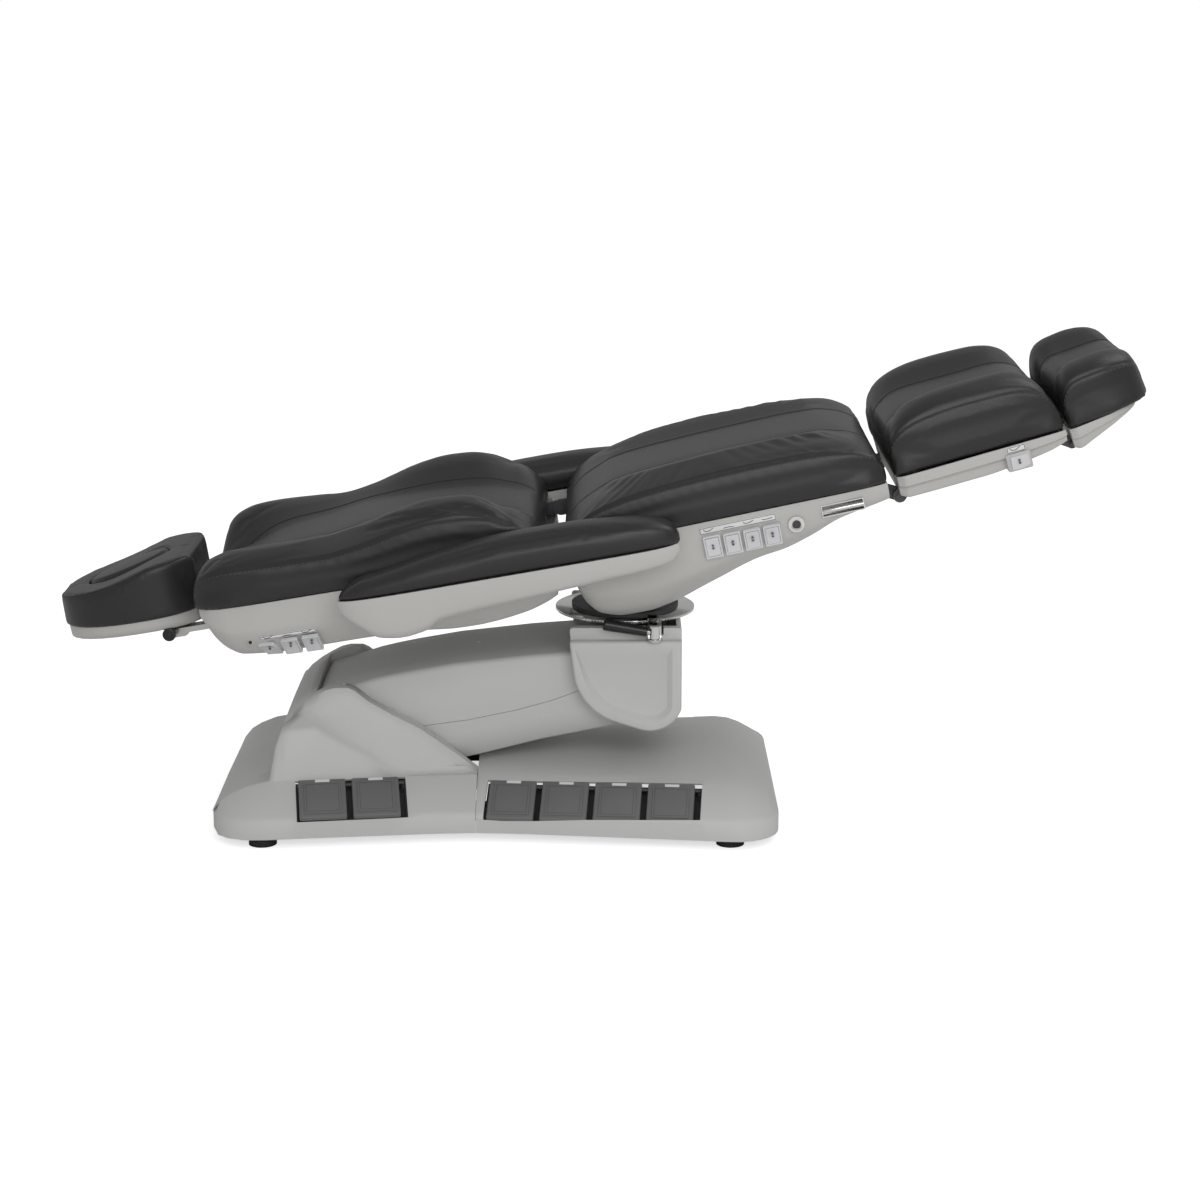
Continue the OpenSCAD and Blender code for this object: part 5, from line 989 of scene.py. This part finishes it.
def pedalBlock(row, low, high, rounding=0.0, segments=2):
    # a block between two corners of a pedal row's frame, with softened edges
    xs, ys, zs = zip(low, high)
    corners = [pedalPoint(row, x, y, z) for x in xs for y in ys for z in zs]
    block = rawObject("block", corners, boxSides if row[4] > 0 else [f[::-1] for f in boxSides])
    if rounding:
        edgeRound(block, rounding, segments, 40)
        applyModifiers(block)
    return block


def joined(name, pieces):
    # one object from several, under a new name
    chosen = dict(active_object=pieces[0], selected_editable_objects=pieces, selected_objects=pieces)
    with bpy.context.temp_override(**chosen):
        bpy.ops.object.join()
    pieces[0].name = name
    return pieces[0]


def makePedals(node, row, first, count):
    # pressed pads with a raised middle, two fine grooves and a blank white tab at the top; the grooves are
    # drawn as thin dark ink strips, which are painted shade
    slabs, tabs, lines = [], [], []
    for k in range(count):
        x = 9 + pedalPitch * (first + k)
        slabs.append(pedalBlock(row, (x - 4, -92, -5), (x + 80, -3, 6), 3.0, 3))
        slabs.append(pedalBlock(row, (x + 5, -84, 4), (x + 71, -13, 8.4), 1.4))
        tabs.append(pedalBlock(row, (x + 26, -11, 5.4), (x + 52, -5, 6.8), 0.6))
        # thin dark strips along the grooves and the panel's upper and lower edges: painted shade, not
        # geometry
        grooveShadeStrips = (9, -80, 9.8, -17), (66.2, -80, 67, -17), (9, -80, 67, -79.2), (9, -17.8, 67, -17)
        for x0, y0, x1, y1 in grooveShadeStrips:
            lines.append(pedalBlock(row, (x + x0, y0, 8.3), (x + x1, y1, 8.6)))
    body = bodyOf[node]
    pad = joined(node + "Pad", slabs)
    finish(pad, finishes["pedal_rubber"], body, 30)
    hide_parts(node)
    finish(joined(node + "Tabs", tabs), labelFinish, body, 30)
    finish(joined(node + "GrooveShadeLines", lines), printInkAndGrooveShade, body, 30)


record = frame["record"]
bodyOf = {n: body for body, nodes in record["behaviour"]["bodies"].items() for n in nodes}
slotOf = {row["node"]: row["material_slot"] for row in record["subparts"]}
# how far the edges of each carried-over cover or fitting are rounded
softened = {
    "deck_cover": 0, "tower_cover": 0, "arm_covers": 0, "head_covers": 1.2, "headrest_shell": 0,
    "pedal_trays": 0.5, "brake_caliper": 0.5, "brake_lever": 0.5, "lever_grip": 1.0, "swivel_disc": 0.8,
    "seat_switch_bezels": 1.0, "back_switch_bezels": 1.0, "hand_control_socket": 0.4, "side_handle": 0.6,
    "levelling_feet": 1.2, "power_unit": 1.5, "lift_motor": 1.0,
}
for n in bodyOf:
    if "_switch_" in n and n.split("_")[-1].isdigit() or n == "calf_switch":
        softened[n] = 0.6
plain = ["base_frame", "lift_arm", "level_link", "lift_rod", "head_block", "turntable_yoke", "seat_frame",
         "seat_motors", "back_frame", "headrest_rails", "headrest_bracket", "leg_rails", "calf_frame"]
# a pedal row's place and its turn in degrees; the last value added is its side of the table
frontRow, rearRow = (-192, -184, 92, -4.5), (-536, -219, 102, 7.4)
for k in range(4):
    makePedals(f"pedal_{k + 3}", (*frontRow, 1), k, 1)
for k in range(2):
    makePedals(f"pedal_{k + 1}", (*rearRow, 1), k, 1)
makePedals("far_pedals_front", (*frontRow, -1), 0, 4)
makePedals("far_pedals_rear", (*rearRow, -1), 0, 2)


def wallY(look, s, h):
    # how far out a shell's near wall stands at a height
    y, at = shellPoint(look, np.full(200, float(s)), np.linspace(0, 0.96, 200))
    order = np.argsort(at)
    return -abs(float(np.interp(h, at[order], np.abs(y)[order])))


def bar(place, start, end, width, y0, y1):
    # a straight printed stroke or a strip between two (s, h) points
    (s0, h0), (s1, h1) = start, end
    length = math.hypot(s1 - s0, h1 - h0)
    ds, dh = (h0 - h1) / length * width / 2, (s1 - s0) / length * width / 2
    corners = [(s0 - ds, h0 - dh), (s1 - ds, h1 - dh), (s1 + ds, h1 + dh), (s0 + ds, h0 + dh)]
    s, h = np.array(corners).T
    points = np.concatenate([inFrame(place, s, np.full(4, y), h) for y in (y0, y1)])
    faces = [[0, 1, 2, 3], [7, 6, 5, 4], [0, 4, 5, 1], [1, 5, 6, 2], [2, 6, 7, 3], [3, 7, 4, 0]]
    return rawObject("bar", points, faces)


def detail(name, pieces, material, body, width=0.0):
    # a small part made of bars, blocks or rods
    piece = joined(name, pieces)
    tidyMesh(piece, 1e-7)
    if width:
        edgeRound(piece, width, 2, 40)
        applyModifiers(piece)
    finish(piece, material, body, 35)


def switchPrint(name, place, places, height, strip, glyphs, nodes, look, body):
    # a pale film strip with a fine border and small seat signs, and a double arrow on each rocker
    s0, s1, h0, h1 = strip
    out = min(wallY(look, s, h) for s in (s0, s1) for h in (h0, h1)) - 1.2
    film = [bar(place, (s0, (h0 + h1) / 2), (s1, (h0 + h1) / 2), h1 - h0, out, out + 4)]
    detail(name + "Film", film, labelFinish, body, 0.5)
    ink = [bar(place, a, b, 0.9, out - 0.15, out + 0.6) for a, b in (
        ((s0 + 1, h0 + 1.2), (s1 - 1, h0 + 1.2)), ((s0 + 1, h1 - 1.2), (s1 - 1, h1 - 1.2)),
        ((s0 + 1.2, h0 + 1), (s0 + 1.2, h1 - 1)), ((s1 - 1.2, h0 + 1), (s1 - 1.2, h1 - 1)))]
    middle = (h0 + h1) / 2
    for s, lift in zip(glyphs, (3.0, -2.0, 2.0, 0.0)):
        heel, hip = (s - 8, middle - 1), (s - 1, middle - 1)
        strokes = [(heel, hip), (hip, (s + 7, middle + lift)), (heel, (s - 11, middle + lift))]
        ink += [bar(place, a, b, 1.2, out - 0.2, out + 0.6) for a, b in strokes]
    for s, node in zip(places, nodes):
        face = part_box(node)[0][1] / mm
        strokes = [((s, height - 4), (s, height + 4))]
        for tip in (-1, 1):
            strokes += [((s + side * 2.2, height + tip * 1.8), (s, height + tip * 4.2)) for side in (-1, 1)]
        ink += [bar(place, a, b, 0.9, face - 0.25, face + 4) for a, b in strokes]
    detail(name + "Ink", ink, printInkAndGrooveShade, body)


switchPrint("seatSwitch", seatFrame, (205, 240, 275, 310), 22, (187, 322, 45, 57), (205, 240, 275, 308),
            [f"seat_switch_{k}" for k in (1, 2, 3, 4)], seatLook, "seat")
switchPrint("backSwitch", backFrame, (-524, -486, -448), -70, (-536, -437, -54, -47), (-520, -486, -452),
            [f"back_switch_{k}" for k in (1, 2, 3)], backLook, "back")
switchPrint("calfSwitch", calfFrame, (212,), 17, (195, 228, 33, 44), (212,),
            ["calf_switch"], calfLook, "calf")
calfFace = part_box("calf_switch")[0][1] / mm
detail(
    "calfSwitchHousing", [boxCutter(calfFrame, (190, calfFace + 4, 1), (234, calfFace + 34, 32))],
    finishes["shell_plastic"], "calf", 2.5,
)
jack = (-556, -56)
jackOut = wallY(backLook, *jack)
jackRing = rodCutter(backFrame, *jack, 6.5, jackOut - 2.2, jackOut + 12)
detail("backJackRing", [jackRing], finishes["bright_steel"], "back", 0.5)
jackHole = rodCutter(backFrame, *jack, 3.2, jackOut - 2.4, jackOut + 8)
detail("backJackHole", [jackHole], finishes["grip_plastic"], "back")
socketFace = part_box("hand_control_socket")[0][1] / mm
plugFace = rodCutter(seatFrame, 354, 30, 7.3, socketFace + 2.5, socketFace + 12)
detail("handPlugFace", [plugFace], finishes["tray_plastic"], "seat")
knob = [rodCutter(neckFrame, 2, 7, 12, -124, -100), rodCutter(neckFrame, 2, 7, 5, -126, -96)]
detail("tiltKnob", knob, finishes["grip_plastic"], "headrest", 1.5)


def screwCap(name, u, v, node, radius=3.4):
    # a pale cap on the cover, at the place the photograph shows it
    graph = bpy.context.evaluated_depsgraph_get()
    pitch, middle = math.radians(photoView["pitch"]), photoView["pixels"] / 2
    right = Vector((1, 0, 0))
    ahead = Vector((0, math.cos(pitch), -math.sin(pitch)))
    up = Vector((0, math.sin(pitch), math.cos(pitch)))
    focal = photoView["focal"]
    way = (ahead + right * ((u - middle) / focal) + up * ((middle - v) / focal)).normalized()
    cover = BVHTree.FromObject(frame["nodes"][node], graph)
    spot, normal, _, _ = cover.ray_cast(Vector(photoView["place"]), way)
    if spot is None:
        return
    side = normal.orthogonal().normalized()
    other = normal.cross(side)
    points, count = [], 24
    for share, lift in ((1.0, -0.8), (1.0, 0.5), (0.8, 0.9)):
        for t in turns(count):
            out = (side * math.cos(t) + other * math.sin(t)) * share * radius * mm
            points.append(list(spot + normal * lift * mm + out))
    tidyMesh(meshPiece(name, points, tubeFaces(3, count), labelFinish, bodyOf[node], 35), 1e-7)


screwCap("liftCoverCap", 479, 642, "arm_covers")
screwCap("towerCap", 344, 684, "tower_cover")
print("prints and small parts placed")
for n, width in softened.items():
    dress(n, slotOf[n], bodyOf[n], width)
for n in plain:
    frame["nodes"][n].data.materials.clear()
    frame["nodes"][n].data.materials.append(finishes[slotOf[n]])
print("carried-over nodes dressed")


def makeStage():
    # a pale floor and a white room
    corners = [(30.0 * i, 30.0 * j, 0) for i, j in ((-1, -1), (1, -1), (1, 1), (-1, 1))]
    floor = rawObject("floorSheet", corners, [[0, 1, 2, 3]])
    material, tree = newMaterial("paleFloor")
    ray = addNode(tree, "ShaderNodeLightPath")
    diffuse = addNode(tree, "ShaderNodeBsdfDiffuse", {"Color": (0.9, 0.9, 0.9, 1)})
    glow = addNode(tree, "ShaderNodeEmission", {"Color": (1, 1, 1, 1), "Strength": 0.66})
    both = addNode(tree, "ShaderNodeAddShader", links={0: diffuse.outputs[0], 1: glow.outputs[0]})
    feeds = {0: ray.outputs["Is Camera Ray"], 1: diffuse.outputs[0], 2: both.outputs[0]}
    surfaceOut(tree, addNode(tree, "ShaderNodeMixShader", links=feeds))
    floor.data.materials.append(material)

    world = bpy.data.worlds.new("studio")
    bpy.context.scene.world = world
    world.use_nodes = True
    tree = world.node_tree
    tree.nodes.clear()
    ray = addNode(tree, "ShaderNodeLightPath")
    feeds = {0: ray.outputs["Is Camera Ray"], 1: ray.outputs["Is Transmission Ray"]}
    seen = addNode(tree, "ShaderNodeMath", {"operation": "MAXIMUM"}, feeds)
    level = addNode(tree, "ShaderNodeMapRange", {"To Min": 0.44, "To Max": 1.0}, {"Value": seen.outputs[0]})
    back = addNode(tree, "ShaderNodeBackground", {"Color": (1, 1, 1, 1)}, {"Strength": level.outputs[0]})
    addNode(tree, "ShaderNodeOutputWorld", links={"Surface": back.outputs[0]})


def addLamp(name, place, target, size, power):
    # a soft box that faces its target
    data = bpy.data.lights.new(name, "AREA")
    data.shape = "RECTANGLE"
    data.size, data.size_y = size
    data.energy = power
    lamp = linked(name, data)
    lamp.location = place
    lamp.rotation_euler = (Vector(target) - Vector(place)).to_track_quat("-Z", "Y").to_euler()


def makeCamera():
    # the photograph's view: 4.85 m away, a little above the table, pitched down
    data = bpy.data.cameras.new("photoCamera")
    data.sensor_width = 36.0
    data.lens = 36.0 * photoView["focal"] / photoView["pixels"]
    camera = linked("photoCamera", data)
    camera.location = photoView["place"]
    camera.rotation_euler = (math.radians(90 - photoView["pitch"]), 0, 0)
    bpy.context.scene.camera = camera


makeStage()
addLamp("overheadBox", (1.8, 0.2, 3.0), (0.1, 0, 0.5), (2.6, 1.8), 26)
addLamp("frontFill", (0.6, -4.4, 2.4), (0, 0, 0.4), (3.6, 2.2), 76)
makeCamera()
bpy.context.scene.view_settings.view_transform = "Standard"
print("stage set")
